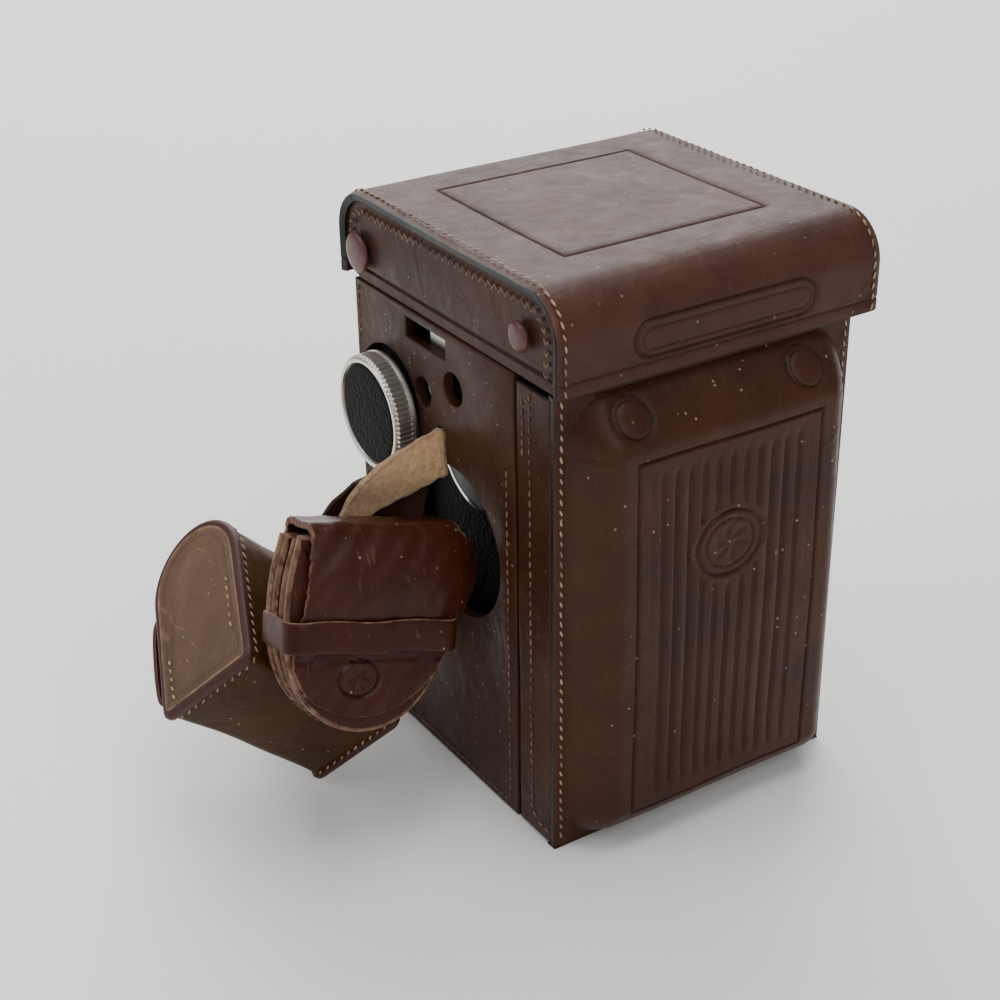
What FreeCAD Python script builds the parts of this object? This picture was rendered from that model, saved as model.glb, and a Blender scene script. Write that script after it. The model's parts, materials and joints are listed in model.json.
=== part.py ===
import FreeCAD, Part
import os
import re

import Sketcher

# A twin lens reflex camera standing in its leather ever-ready case, with a flap pouch and a lens hood case on a
# strap at its left side. X runs to the right, Y to the back, Z up; the origin is the middle of the case's base.
# The driving dimensions, in millimetres and degrees, live in the spreadsheet "Sizes".

DIMENSIONS = [
    # leather case
    ("case_width", 88.0, "outside width of the case walls"),
    ("case_depth", 92.0, "front panel to back wall, outside"),
    ("wall_top", 125.8, "top of the side walls, just under the lid's skirt"),
    ("inner_top", 140.0, "top of the walls that stand up inside the lid"),
    ("leather_gauge", 3.0, "thickness of the case leather"),
    ("cover_gap", 0.3, "space between leather pieces that move apart"),
    ("flange_back", -29.8, "rear edge of the front cover's side flanges"),
    ("base_hole_radius", 8.0, "hole under the tripod bush"),
    # openings of the left wall, Y and Z of each centre
    ("knob_y", 29.7, "winding knob axis"),
    ("knob_z", 94.6, "winding knob axis"),
    ("knob_hole_radius", 15.0, "hole behind the winding knob"),
    ("knob_hole_y", 30.2, "centre of the hole behind the winding knob"),
    ("knob_hole_z", 96.8, "centre of the hole behind the winding knob"),
    ("lug_slot_low", 118.0, "strap lug slot, bottom"),
    ("lug_slot_high", 123.4, "strap lug slot, top"),
    ("lug_slot_front", 1.2, "strap lug slot, front end"),
    ("lug_slot_back", 20.2, "strap lug slot, back end"),
    ("counter_y", 12.6, "frame counter"),
    ("counter_z", 105.6, "frame counter"),
    ("counter_hole_radius", 3.9, "hole over the counter"),
    ("spare_hole_y", -2.0, "second round hole"),
    ("spare_hole_z", 111.6, "second round hole"),
    ("spare_hole_radius", 4.35, "second round hole"),
    ("side_hole_y", -1.8, "large round cut-out"),
    ("side_hole_z", 69.5, "large round cut-out"),
    ("side_hole_radius", 20.4, "large round cut-out"),
    ("strap_y", 3.8, "slit that the accessory strap comes through"),
    ("strap_low", 84.6, "lower edge of the strap at the wall"),
    ("strap_width", 14.0, "width of the accessory strap"),
    ("strap_gauge", 1.8, "thickness of the strap"),
    # front cover
    ("cover_low", 0.4, "bottom edge of the front cover"),
    ("cover_high", 125.7, "top edge of the front cover"),
    ("flange_drop", 1.1, "how far the side flanges stop below the cover's top edge"),
    ("nose_depth", 10.5, "how far the moulded nose stands out"),
    ("nose_root_half", 37.9, "half width of the nose at the panel"),
    ("nose_half", 31.2, "half width of the nose's flat front"),
    ("nose_root_low", 5.0, "bottom of the nose at the panel"),
    ("nose_low", 8.6, "bottom of the nose's flat front"),
    ("nose_high", 112.5, "top of the nose's flat front"),
    ("nose_root_high", 123.6, "top of the nose at the panel"),
    ("nose_round", 3.6, "rounding of the nose's edges"),
    ("stud_radius", 4.5, "leather covered studs on the nose"),
    ("stud_side", 25.5, "stud centre from the middle"),
    ("stud_height", 118.6, "height of the stud centres"),
    ("stud_depth", -51.2, "Y of the studs' inner face"),
    ("stud_gauge", 1.2, "how far a stud stands out"),
    # lid
    ("lid_left", -45.0, "left face of the lid"),
    ("lid_right", 50.1, "right face of the lid"),
    ("lid_front", -48.3, "front face of the lid"),
    ("lid_back", 51.6, "back face of the lid"),
    ("lid_low", 126.2, "bottom edge of the lid's skirt"),
    ("lid_top", 150.0, "top of the lid"),
    ("lid_bend", 12.0, "outside radius of the lid's front and back bends"),
    ("lid_corner_in", 6.0, "length of the trimmed rear corner of the skirt"),
    ("lid_corner_up", 2.1, "height of the trimmed rear corner of the skirt"),
    ("rivet_radius", 5.25, "rear dome rivet"),
    ("rivet_y", 41.5, "rear dome rivet"),
    ("rivet_z", 134.0, "rear dome rivet"),
    ("snap_radius", 3.7, "front press stud"),
    ("snap_y", -33.7, "front press stud"),
    ("snap_z", 136.9, "front press stud"),
    ("dome_height", 1.5, "height of the rivet and stud domes"),
    ("hinge_strip_gauge", 1.2, "thickness of the lid's leather hinge strip"),
    ("strip_reach", 9.0, "how far the hinge strip runs below and above the skirt's edge"),
    # flap pouch, in its own frame
    ("pouch_width", 46.0, "flap pouch"),
    ("pouch_height", 51.0, "flap pouch"),
    ("pouch_gauge", 14.0, "thickness of the flap pouch's body"),
    ("pouch_x", -90.5, "flap pouch, top left corner of its front"),
    ("pouch_y", -6.7, "flap pouch, top left corner of its front"),
    ("pouch_z", 90.1, "flap pouch, top left corner of its front"),
    ("pouch_yaw", -7.3, "turn of the flap pouch about Z"),
    ("pouch_pitch", 13.9, "turn of the flap pouch about Y"),
    ("pouch_roll", -17.4, "turn of the flap pouch about X"),
    ("flap_gauge", 2.0, "thickness of the pouch flap"),
    ("flap_drop", 46.0, "how far the flap hangs down the front"),
    ("band_low", 31.0, "lower edge of the band, below the pouch's top"),
    ("band_high", 24.0, "upper edge of the band, below the pouch's top"),
    ("band_gauge", 1.4, "thickness of the band"),
    # lens hood case, in its own frame
    ("hood_case_width", 32.9, "across the flat of the D"),
    ("hood_case_height", 52.5, "flat to crown of the D"),
    ("hood_case_length", 53.4, "cap to cap"),
    ("hood_case_x", -121.9, "lower left corner of the near cap"),
    ("hood_case_y", 13.3, "lower left corner of the near cap"),
    ("hood_case_z", 34.75, "lower left corner of the near cap"),
    ("hood_case_yaw", -42.1, "turn of the hood case about Z"),
    ("hood_case_pitch", -41.8, "turn of the hood case about Y"),
    ("hood_case_roll", -60.8, "turn of the hood case about X"),
    ("cap_gauge", 2.2, "thickness of the hood case's end caps"),
    ("cap_lip", 1.0, "how far a cap stands proud of the wrap"),
    ("clasp_radius", 4.0, "snap of the hood case"),
    # camera body
    ("camera_half", 39.6, "half width of the camera's casting"),
    ("skin_gauge", 0.8, "thickness of the leatherette panels"),
    ("camera_low", 4.0, "underside of the camera"),
    ("camera_high", 118.0, "top of the casting"),
    ("camera_front", -26.0, "front of the casting"),
    ("camera_back", 40.2, "rear of the casting"),
    ("door_gauge", 2.2, "thickness of the back door"),
    ("casting_wall", 2.6, "thickness of the casting"),
    ("gate_half", 28.5, "half of the film gate's side"),
    ("taking_z", 47.0, "height of the taking lens"),
    ("viewing_z", 89.0, "height of the viewing lens"),
    ("lens_hole_radius", 12.0, "holes of the casting behind the lenses"),
    ("lens_throat_half", 13.0, "half of the dark chamber's front opening"),
    ("spool_half", 31.0, "half length of the film spools"),
    ("spool_radius", 10.2, "flanges of the take-up spool"),
    ("spool_core", 5.5, "core of a film spool"),
    ("spool_flange", 1.2, "thickness of a spool flange"),
    ("feed_y", 11.0, "axis of the feed spool"),
    ("feed_z", 17.5, "axis of the feed spool"),
    ("spindle_radius", 2.5, "winding shaft and spool pins"),
    ("running_gap", 0.05, "radial clearance of a turning shaft"),
    ("roller_radius", 2.6, "film rollers"),
    ("roller_y", 34.6, "axis of both film rollers"),
    ("roller_low_z", 14.0, "axis of the lower roller"),
    ("roller_high_z", 80.0, "axis of the upper roller"),
    ("roller_half", 30.0, "half length of the rollers"),
    ("mirror_length", 44.0, "reflex mirror along its slope"),
    ("mirror_half", 27.0, "half width of the reflex mirror"),
    ("mirror_gauge", 2.0, "thickness of the mirror"),
    ("mirror_front", -20.5, "front edge of the mirror"),
    ("mirror_low", 79.5, "height of the mirror's front edge"),
    ("screen_low", 115.2, "underside of the focusing screen"),
    ("hood_half", 31.0, "half width of the folded finder hood"),
    ("hood_back", 32.0, "rear of the finder hood"),
    ("hood_low", 118.2, "bottom of the finder hood"),
    ("hood_high", 136.0, "top of the finder hood's frame"),
    ("hood_wall", 1.6, "thickness of the finder hood"),
    ("leaf_gauge", 0.7, "thickness of a hood leaf"),
    ("magnifier_radius", 11.0, "finder magnifier"),
    # fittings of the camera's sides
    ("lug_gauge", 0.9, "how far a strap lug stands out of the skin"),
    ("lug_height", 14.0, "height of a strap lug"),
    ("lug_front", 3.9, "front end of a strap lug"),
    ("lug_back", 13.2, "rear end of a strap lug"),
    ("dial_y", -6.1, "side dial plate"),
    ("dial_z", 96.2, "side dial plate"),
    ("dial_radius", 17.0, "outside of the dial plate's rim"),
    ("dial_rim", 0.9, "width of the bright rim"),
    ("knob_radius", 15.6, "winding knob"),
    ("knob_face", -51.1, "outer face of the winding knob"),
    ("knob_rim", 5.6, "width of the knurled rim"),
    ("knob_flange", 0.6, "thin bright flange behind the knurling"),
    ("knob_disc_radius", 13.6, "leather disc of the knob"),
    ("knob_disc_sink", 0.5, "how deep the leather disc is let in"),
    ("focus_radius", 17.0, "focusing knob"),
    ("focus_face", 49.6, "outer face of the focusing knob"),
    ("focus_spindle", 3.0, "focusing shaft"),
    ("counter_radius", 3.3, "frame counter dial"),
    ("bush_y", 9.5, "tripod bush"),
    ("bush_radius", 7.0, "tripod bush"),
    ("bush_height", 6.0, "tripod bush"),
    ("bush_thread_radius", 3.175, "quarter inch tripod thread"),
    ("bush_depth", 5.0, "depth of the tripod thread"),
    # lens panel
    ("board_half", 29.0, "half width of the lens board"),
    ("board_low", 14.0, "bottom of the lens board"),
    ("board_high", 110.0, "top of the lens board"),
    ("board_back", -30.0, "rear face of the lens board"),
    ("board_gauge", 3.5, "thickness of the lens board"),
    ("shutter_radius", 23.0, "shutter housing"),
    ("shutter_gauge", 5.0, "thickness of the shutter housing"),
    ("barrel_radius", 14.0, "lens barrels"),
    ("barrel_front", -46.0, "front of the lens barrels"),
    ("glass_radius", 10.0, "front elements"),
    ("glass_gauge", 3.0, "thickness of the front elements"),
    ("ring_gap", 0.3, "radial clearance of the lever rings"),
    ("ring_wall", 1.6, "radial width of a lever ring"),
    ("ring_gauge", 1.1, "thickness of a lever ring"),
    ("lever_reach", 24.5, "tip of a lever from the lens axis"),
    ("lever_width", 3.6, "width of a lever"),
]

doc = FreeCAD.newDocument("TwinLensReflex")
sheet = doc.addObject("Spreadsheet::Sheet", "Sizes")
for row, (alias, number, note) in enumerate(DIMENSIONS, start=1):
    sheet.set(f"A{row}", alias)
    sheet.set(f"B{row}", str(number))
    sheet.set(f"C{row}", note)
    sheet.setAlias(f"B{row}", alias)
doc.recompute()

subparts = []


def bound(text):
    """An expression in which every alias is read from the spreadsheet."""
    return re.sub(r"[a-z]+(?:_[a-z]+)+", lambda found: "Sizes." + found.group(0), str(text))


def value(text):
    """The number that an expression has now."""
    return float(sheet.evalExpression(bound(text)))


def place(piece, at=("0", "0", "0"), turn=("0", "0", "0")):
    """Turns a piece by yaw, pitch and roll, and binds its position."""
    angles = [value(angle) for angle in turn]
    piece.Placement = FreeCAD.Placement(FreeCAD.Vector(0, 0, 0), FreeCAD.Rotation(*angles))
    for axis, text in zip("xyz", at):
        piece.setExpression(f"Placement.Base.{axis}", bound(text))
    return piece


def subpart(piece, label):
    """Names a finished piece and puts it on the list of files to write."""
    piece.Label = label
    subparts.append(piece)
    return piece


# ---- primitives -----------------------------------------------------------------------------------------------

def block(low, high, name="Block"):
    """A box between two corners."""
    piece = doc.addObject("Part::Box", name)
    for side, start, end in zip(("Length", "Width", "Height"), low, high):
        piece.setExpression(side, bound(f"({end}) - ({start})"))
    return place(piece, low)


def rod(radius, length, start, turn=("0", "0", "0"), name="Rod"):
    """A cylinder that runs along Z from its start, before its turn."""
    piece = doc.addObject("Part::Cylinder", name)
    piece.setExpression("Radius", bound(radius))
    piece.setExpression("Height", bound(length))
    return place(piece, start, turn)


ALONG_X = ("0", "90", "0")
ALONG_MINUS_X = ("0", "-90", "0")
ALONG_MINUS_Y = ("0", "0", "90")


def cut(base, tools, name="Cut"):
    """The base with every tool taken away."""
    piece = doc.addObject("Part::Cut", name)
    piece.Base = base
    piece.Tool = tools[0] if len(tools) == 1 else join(tools)
    return piece


def join(pieces, name="Joined"):
    """Several pieces as one shape."""
    piece = doc.addObject("Part::MultiFuse", name)
    piece.Shapes = pieces
    return piece


def group(pieces, name="Group"):
    """Separate solids that share one node."""
    piece = doc.addObject("Part::Compound", name)
    piece.Links = pieces
    return piece


# ---- sketched bodies ------------------------------------------------------------------------------------------

def body(name="Body"):
    return doc.addObject("PartDesign::Body", name)


def sketch(owner, role, start, outlines=(), circles=()):
    """A sketch on an origin plane, moved along its normal, with closed outlines and circles bound to the sheet."""
    drawing = owner.newObject("Sketcher::SketchObject", "Sketch")
    plane = next(item for item in owner.Origin.OriginFeatures if item.Role == role)
    drawing.AttachmentSupport = (plane, "")
    drawing.MapMode = "FlatFace"
    drawing.setExpression("AttachmentOffset.Base.z", bound(start))
    for outline in outlines:
        corners = [FreeCAD.Vector(value(u), value(v), 0) for u, v in outline]
        first = drawing.GeometryCount
        count = len(corners)
        for index, corner in enumerate(corners):
            drawing.addGeometry(Part.LineSegment(corner, corners[(index + 1) % count]))
        for index, (u, v) in enumerate(outline):
            line = first + index
            following = first + (index + 1) % count
            drawing.addConstraint(Sketcher.Constraint("Coincident", line, 2, following, 1))
            pin(drawing, line, 1, u, v)
    for u, v, radius in circles:
        centre = FreeCAD.Vector(value(u), value(v), 0)
        ring = drawing.addGeometry(Part.Circle(centre, FreeCAD.Vector(0, 0, 1), value(radius)))
        pin(drawing, ring, 3, u, v)
        size = drawing.addConstraint(Sketcher.Constraint("Radius", ring, value(radius)))
        drawing.setExpression(f"Constraints[{size}]", bound(radius))
    return drawing


def pin(drawing, geometry, point, u, v):
    """Ties a point of a sketch to two bound coordinates."""
    for kind, text in (("DistanceX", u), ("DistanceY", v)):
        tie = drawing.addConstraint(Sketcher.Constraint(kind, -1, 1, geometry, point, value(text)))
        drawing.setExpression(f"Constraints[{tie}]", bound(text))


def pad(owner, role, start, length, outlines=(), circles=()):
    """Extrudes a sketch along its plane's normal."""
    feature = owner.newObject("PartDesign::Pad", "Pad")
    feature.Profile = sketch(owner, role, start, outlines, circles)
    feature.setExpression("Length", bound(length))
    doc.recompute()
    return feature


def pocket(owner, role, start, depth, outlines=(), circles=()):
    """Cuts a sketch against its plane's normal and checks that something went."""
    before = owner.Shape.Volume
    feature = owner.newObject("PartDesign::Pocket", "Pocket")
    feature.Profile = sketch(owner, role, start, outlines, circles)
    feature.setExpression("Length", bound(depth))
    doc.recompute()
    if owner.Shape.Volume > before - 0.01:
        raise RuntimeError(f"a pocket of {owner.Label} cuts nothing")
    return feature


def loft(owner, kind, role, first, second):
    """Adds or cuts a tapered block between two sketched outlines, each given as its place and its outline."""
    feature = owner.newObject(kind, "Loft")
    feature.Profile = sketch(owner, role, first[0], [first[1]])
    feature.Sections = [sketch(owner, role, second[0], [second[1]])]
    feature.Ruled = True
    doc.recompute()
    return feature


def turned(profile, at, turn=("0", "0", "0"), name="Turned"):
    """A body of revolution about Z, from radius and height pairs, before its turn."""
    owner = body(name)
    feature = owner.newObject("PartDesign::Revolution", "Revolution")
    drawing = sketch(owner, "XZ_Plane", "0", [profile])
    feature.Profile = drawing
    feature.ReferenceAxis = (drawing, ["V_Axis"])
    feature.Angle = 360
    doc.recompute()
    return place(owner, at, turn)


def rounded(owner, radius, chosen, kind="PartDesign::Fillet"):
    """Rounds or bevels the edges of a body's last feature for which chosen(edge) is true."""
    last = owner.Tip
    names = [f"Edge{number}" for number, edge in enumerate(last.Shape.Edges, start=1) if chosen(edge)]
    if not names:
        raise RuntimeError(f"no edge to round on {owner.Label}")
    feature = owner.newObject(kind, "Edges")
    feature.Base = (last, names)
    feature.setExpression("Radius" if kind.endswith("Fillet") else "Size", bound(radius))
    doc.recompute()
    return feature


def rectangle(left, low, right, high):
    return [(left, low), (right, low), (right, high), (left, high)]


def along(edge, axis):
    """True for a straight edge that runs along an axis, 0 for X, 1 for Y, 2 for Z."""
    if len(edge.Vertexes) != 2:
        return False
    run = edge.Vertexes[1].Point - edge.Vertexes[0].Point
    return abs(abs(run[axis]) - run.Length) < 0.001


# ---- leather case ---------------------------------------------------------------------------------------------

HALF_WIDTH = "case_width / 2"
HALF_DEPTH = "case_depth / 2"
INNER_HALF = "case_width / 2 - leather_gauge"
SKIN = "camera_half + skin_gauge"


def case_base():
    floor = block((f"-({INNER_HALF})", f"-{HALF_DEPTH} + leather_gauge + cover_gap", "0"),
                  (INNER_HALF, f"{HALF_DEPTH} - leather_gauge", "leather_gauge"))
    hole = rod("base_hole_radius", "leather_gauge * 2", ("0", "bush_y", "-1"))
    subpart(cut(floor, [hole]), "case_base")


def case_left_wall():
    wall = body("LeftWall")
    start = f"-{HALF_WIDTH}"
    pad(wall, "YZ_Plane", start, "leather_gauge",
        [rectangle("flange_back + cover_gap * 2", "0", HALF_DEPTH, "wall_top")])
    far_side = f"-{HALF_WIDTH} + leather_gauge * 2"
    pocket(wall, "YZ_Plane", far_side, "leather_gauge * 3",
           circles=[("knob_hole_y", "knob_hole_z", "knob_hole_radius"), ("counter_y", "counter_z", "counter_hole_radius"),
                    ("spare_hole_y", "spare_hole_z", "spare_hole_radius")])
    pocket(wall, "YZ_Plane", far_side, "leather_gauge * 3",
           circles=[("side_hole_y", "side_hole_z", "side_hole_radius")])
    pocket(wall, "YZ_Plane", far_side, "leather_gauge * 3",
           [rectangle("lug_slot_front", "lug_slot_low", "lug_slot_back", "lug_slot_high")])
    slit = rectangle("strap_y - strap_gauge", "strap_low - 0.8", "strap_y + strap_gauge",
                     "strap_low + strap_width + 0.4")
    pocket(wall, "YZ_Plane", far_side, "leather_gauge * 3", [slit])
    subpart(wall, "case_left_wall")


def case_right_wall():
    wall = body("RightWall")
    pad(wall, "YZ_Plane", INNER_HALF, "leather_gauge",
        [rectangle("flange_back + cover_gap * 2", "0", HALF_DEPTH, "inner_top")])
    pocket(wall, "YZ_Plane", f"{HALF_WIDTH} + 1", "leather_gauge * 2",
           circles=[("side_hole_y", "side_hole_z", "side_hole_radius")])
    subpart(wall, "case_right_wall")


def case_back_wall():
    wall = block((f"-({INNER_HALF})", f"{HALF_DEPTH} - leather_gauge", "0"), (INNER_HALF, HALF_DEPTH, "inner_top"))
    subpart(wall, "case_back_wall")


def front_cover():
    cover = body("FrontCover")
    outer = "case_depth / 2"
    inner = "case_depth / 2 - leather_gauge"
    pad(cover, "XZ_Plane", inner, "leather_gauge",
        [rectangle(f"-{HALF_WIDTH}", "cover_low", HALF_WIDTH, "cover_high")])
    pad(cover, "XZ_Plane", "-flange_back", f"{inner} + flange_back",
        [rectangle(f"-{HALF_WIDTH}", "cover_low", f"-({INNER_HALF})", "cover_high - flange_drop"),
         rectangle(INNER_HALF, "cover_low", HALF_WIDTH, "cover_high - flange_drop")])
    root = rectangle("-nose_root_half", "nose_root_low", "nose_root_half", "nose_root_high")
    ridge = rectangle("-nose_half", "nose_low", "nose_half", "nose_high")
    loft(cover, "PartDesign::AdditiveLoft", "XZ_Plane", (outer, root), (f"{outer} + nose_depth", ridge))
    front = -value(f"{outer} + nose_depth")
    panel = -value(outer)
    rounded(cover, "nose_round", lambda edge: all(abs(end.Y - front) < 0.01 for end in edge.Vertexes))
    rounded(cover, "nose_round", lambda edge: is_nose_corner(edge, panel, front))
    inset = "leather_gauge"
    inner_root = rectangle(f"-nose_root_half + {inset}", f"nose_root_low + {inset}", f"nose_root_half - {inset}",
                           f"nose_root_high - {inset}")
    inner_ridge = rectangle(f"-nose_half + {inset} * 0.6", f"nose_low + {inset} * 0.6", f"nose_half - {inset} * 0.6",
                            f"nose_high - {inset} * 0.6")
    loft(cover, "PartDesign::SubtractiveLoft", "XZ_Plane", (inner, inner_root),
         (f"{outer} + nose_depth - {inset}", inner_ridge))
    subpart(cover, "front_cover")


def is_nose_corner(edge, panel, front):
    """True for one of the four sloping edges between the nose's front and the panel."""
    if len(edge.Vertexes) != 2:
        return False
    low, high = sorted(end.Y for end in edge.Vertexes)
    return abs(high - panel) < 0.01 and low < panel - 3


def cover_studs():
    pair = [turned(dome("stud_radius", "stud_gauge"), (f"{side} * stud_side", "stud_depth", "stud_height"),
                   ("0", "0", "45")) for side in (-1, 1)]
    subpart(group(pair), "cover_studs")


def front_hinge_strip():
    strip = block((f"-{HALF_WIDTH}", f"-{HALF_DEPTH}", "0"),
                  (HALF_WIDTH, f"-{HALF_DEPTH} + leather_gauge + cover_gap", "cover_low / 2"))
    subpart(strip, "front_hinge_strip")


def dome(radius, height):
    """The profile of a low dome on a flat base."""
    return [("0", "0"), (radius, "0"), (radius, f"{height} * 0.3"), (f"{radius} * 0.8", f"{height} * 0.72"),
            (f"{radius} * 0.42", f"{height} * 0.95"), ("0", height)]


# ---- lid ------------------------------------------------------------------------------------------------------

LID_INNER_LEFT = "lid_left + leather_gauge"
LID_INNER_RIGHT = "lid_right - leather_gauge"


def lid_shell():
    shell = body("LidShell")
    outline = [("lid_front", "lid_low"), ("lid_front + leather_gauge", "lid_low"),
               ("lid_front + leather_gauge", "lid_top - leather_gauge"),
               ("lid_back - leather_gauge", "lid_top - leather_gauge"), ("lid_back - leather_gauge", "lid_low"),
               ("lid_back", "lid_low"), ("lid_back", "lid_top"), ("lid_front", "lid_top")]
    pad(shell, "YZ_Plane", LID_INNER_LEFT, f"({LID_INNER_RIGHT}) - ({LID_INNER_LEFT})", [outline])
    top = value("lid_top")
    under = value("lid_top - leather_gauge")
    rounded(shell, "lid_bend", lambda edge: along(edge, 0) and edge.Vertexes[0].Z > top - 0.01)
    rounded(shell, "lid_bend - leather_gauge",
            lambda edge: along(edge, 0) and abs(edge.Vertexes[0].Z - under) < 0.01)
    subpart(shell, "lid_shell")


def lid_side(label, start):
    side = body(label)
    outline = [("lid_front", "lid_low"), ("lid_back - lid_corner_in", "lid_low"),
               ("lid_back", "lid_low + lid_corner_up"), ("lid_back", "lid_top"), ("lid_front", "lid_top")]
    pad(side, "YZ_Plane", start, "leather_gauge", [outline])
    top = value("lid_top")
    rounded(side, "lid_bend", lambda edge: along(edge, 0) and edge.Vertexes[0].Z > top - 0.01)
    subpart(side, label)


def lid_studs(label, radius, y, z):
    """A dome on each side of the lid."""
    pair = [turned(dome(radius, "dome_height"), ("lid_left", y, z), ALONG_MINUS_X),
            turned(dome(radius, "dome_height"), ("lid_right", y, z), ALONG_X)]
    subpart(group(pair), label)


def lid_hinge_strip():
    strip = block((f"-({INNER_HALF})", HALF_DEPTH, "lid_low - strip_reach"),
                  (INNER_HALF, f"{HALF_DEPTH} + hinge_strip_gauge", "lid_low + strip_reach"))
    subpart(strip, "lid_hinge_strip")


# ---- strap, flap pouch and lens hood case ---------------------------------------------------------------------

POUCH_AT = ("pouch_x", "pouch_y", "pouch_z")
POUCH_TURN = ("pouch_yaw", "pouch_pitch", "pouch_roll")
HOOD_CASE_AT = ("hood_case_x", "hood_case_y", "hood_case_z")
HOOD_CASE_TURN = ("hood_case_yaw", "hood_case_pitch", "hood_case_roll")


def accessory_strap():
    """A strip of suede that leaves the slit in the case wall and turns down behind the pouches."""
    out_leg = doc.addObject("Part::Box", "StrapOut")
    out_leg.setExpression("Length", bound("strap_width * 1.6"))
    out_leg.setExpression("Width", bound("strap_gauge"))
    out_leg.setExpression("Height", bound("strap_width"))
    place(out_leg, (f"-{HALF_WIDTH} - strap_width * 1.5 - 0.6", "strap_y + 1.6", "strap_low - 7.0"),
          ("-4", "-19", "0"))
    down_leg = doc.addObject("Part::Box", "StrapDown")
    down_leg.setExpression("Length", bound("strap_width"))
    down_leg.setExpression("Width", bound("strap_gauge"))
    down_leg.setExpression("Height", bound("strap_width * 2.2"))
    place(down_leg, (f"-{HALF_WIDTH} - strap_width * 2", "strap_y + 5.5", "strap_low - 22"), ("-10", "16", "0"))
    subpart(join([out_leg, down_leg]), "accessory_strap")


def pouch_outline(width, height, inset="0"):
    """A pouch face: straight at the top, and round at the bottom like a U."""
    return [(inset, "0"), (f"{width} - {inset}", "0"), (f"{width} - {inset}", f"-{height} * 0.56"),
            (f"{width} * 0.9 - {inset} * 0.7", f"-{height} * 0.78"), (f"{width} * 0.7", f"-{height} * 0.95 + {inset}"),
            (f"{width} * 0.5", f"-{height} + {inset}"), (f"{width} * 0.3", f"-{height} * 0.95 + {inset}"),
            (f"{width} * 0.1 + {inset} * 0.7", f"-{height} * 0.78"), (inset, f"-{height} * 0.56")]


def flap_pouch():
    """The pouch's body hangs behind its front plane, the local XZ plane; the flap and the band lie before it."""
    pouch = body("PouchBody")
    pad(pouch, "XZ_Plane", "-pouch_gauge", "pouch_gauge", [pouch_outline("pouch_width", "pouch_height")])
    subpart(place(pouch, POUCH_AT, POUCH_TURN), "flap_pouch_body")

    flap = body("PouchFlap")
    pad(flap, "XZ_Plane", "cover_gap / 3", "flap_gauge", [pouch_outline("pouch_width", "flap_drop", "1")])
    subpart(place(flap, POUCH_AT, POUCH_TURN), "flap_pouch_flap")

    band = body("PouchBand")
    pad(band, "XZ_Plane", "flap_gauge + cover_gap", "band_gauge",
        [rectangle("0", "-band_low", "pouch_width", "-band_high")])
    subpart(place(band, POUCH_AT, POUCH_TURN), "flap_pouch_band")


def hood_case():
    """A D shaped case: its flat is the local XY plane, its length runs along local Y."""
    crown = "hood_case_height - hood_case_width / 2"

    def d_block(name, start, length, inset):
        owner = body(name)
        pad(owner, "XZ_Plane", f"-({start}) - ({length})", length,
            [rectangle(inset, inset, f"hood_case_width - {inset}", crown)])
        pad(owner, "XZ_Plane", f"-({start}) - ({length})", length,
            circles=[("hood_case_width / 2", crown, f"hood_case_width / 2 - {inset}")])
        return place(owner, HOOD_CASE_AT, HOOD_CASE_TURN)

    subpart(d_block("NearCap", "0", "cap_gauge", "0"), "hood_case_near_cap")
    subpart(d_block("Wrap", "cap_gauge", "hood_case_length - cap_gauge * 2", "cap_lip"), "hood_case_wrap")
    subpart(d_block("FarCap", "hood_case_length - cap_gauge", "cap_gauge", "0"), "hood_case_far_cap")
    snap = body("Snap")
    pad(snap, "YZ_Plane", "hood_case_width - cap_lip", "cap_lip",
        circles=[("hood_case_length * 0.3", f"({crown}) * 0.72", "clasp_radius")])
    subpart(place(snap, HOOD_CASE_AT, HOOD_CASE_TURN), "hood_case_snap")


# ---- camera body ----------------------------------------------------------------------------------------------

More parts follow.
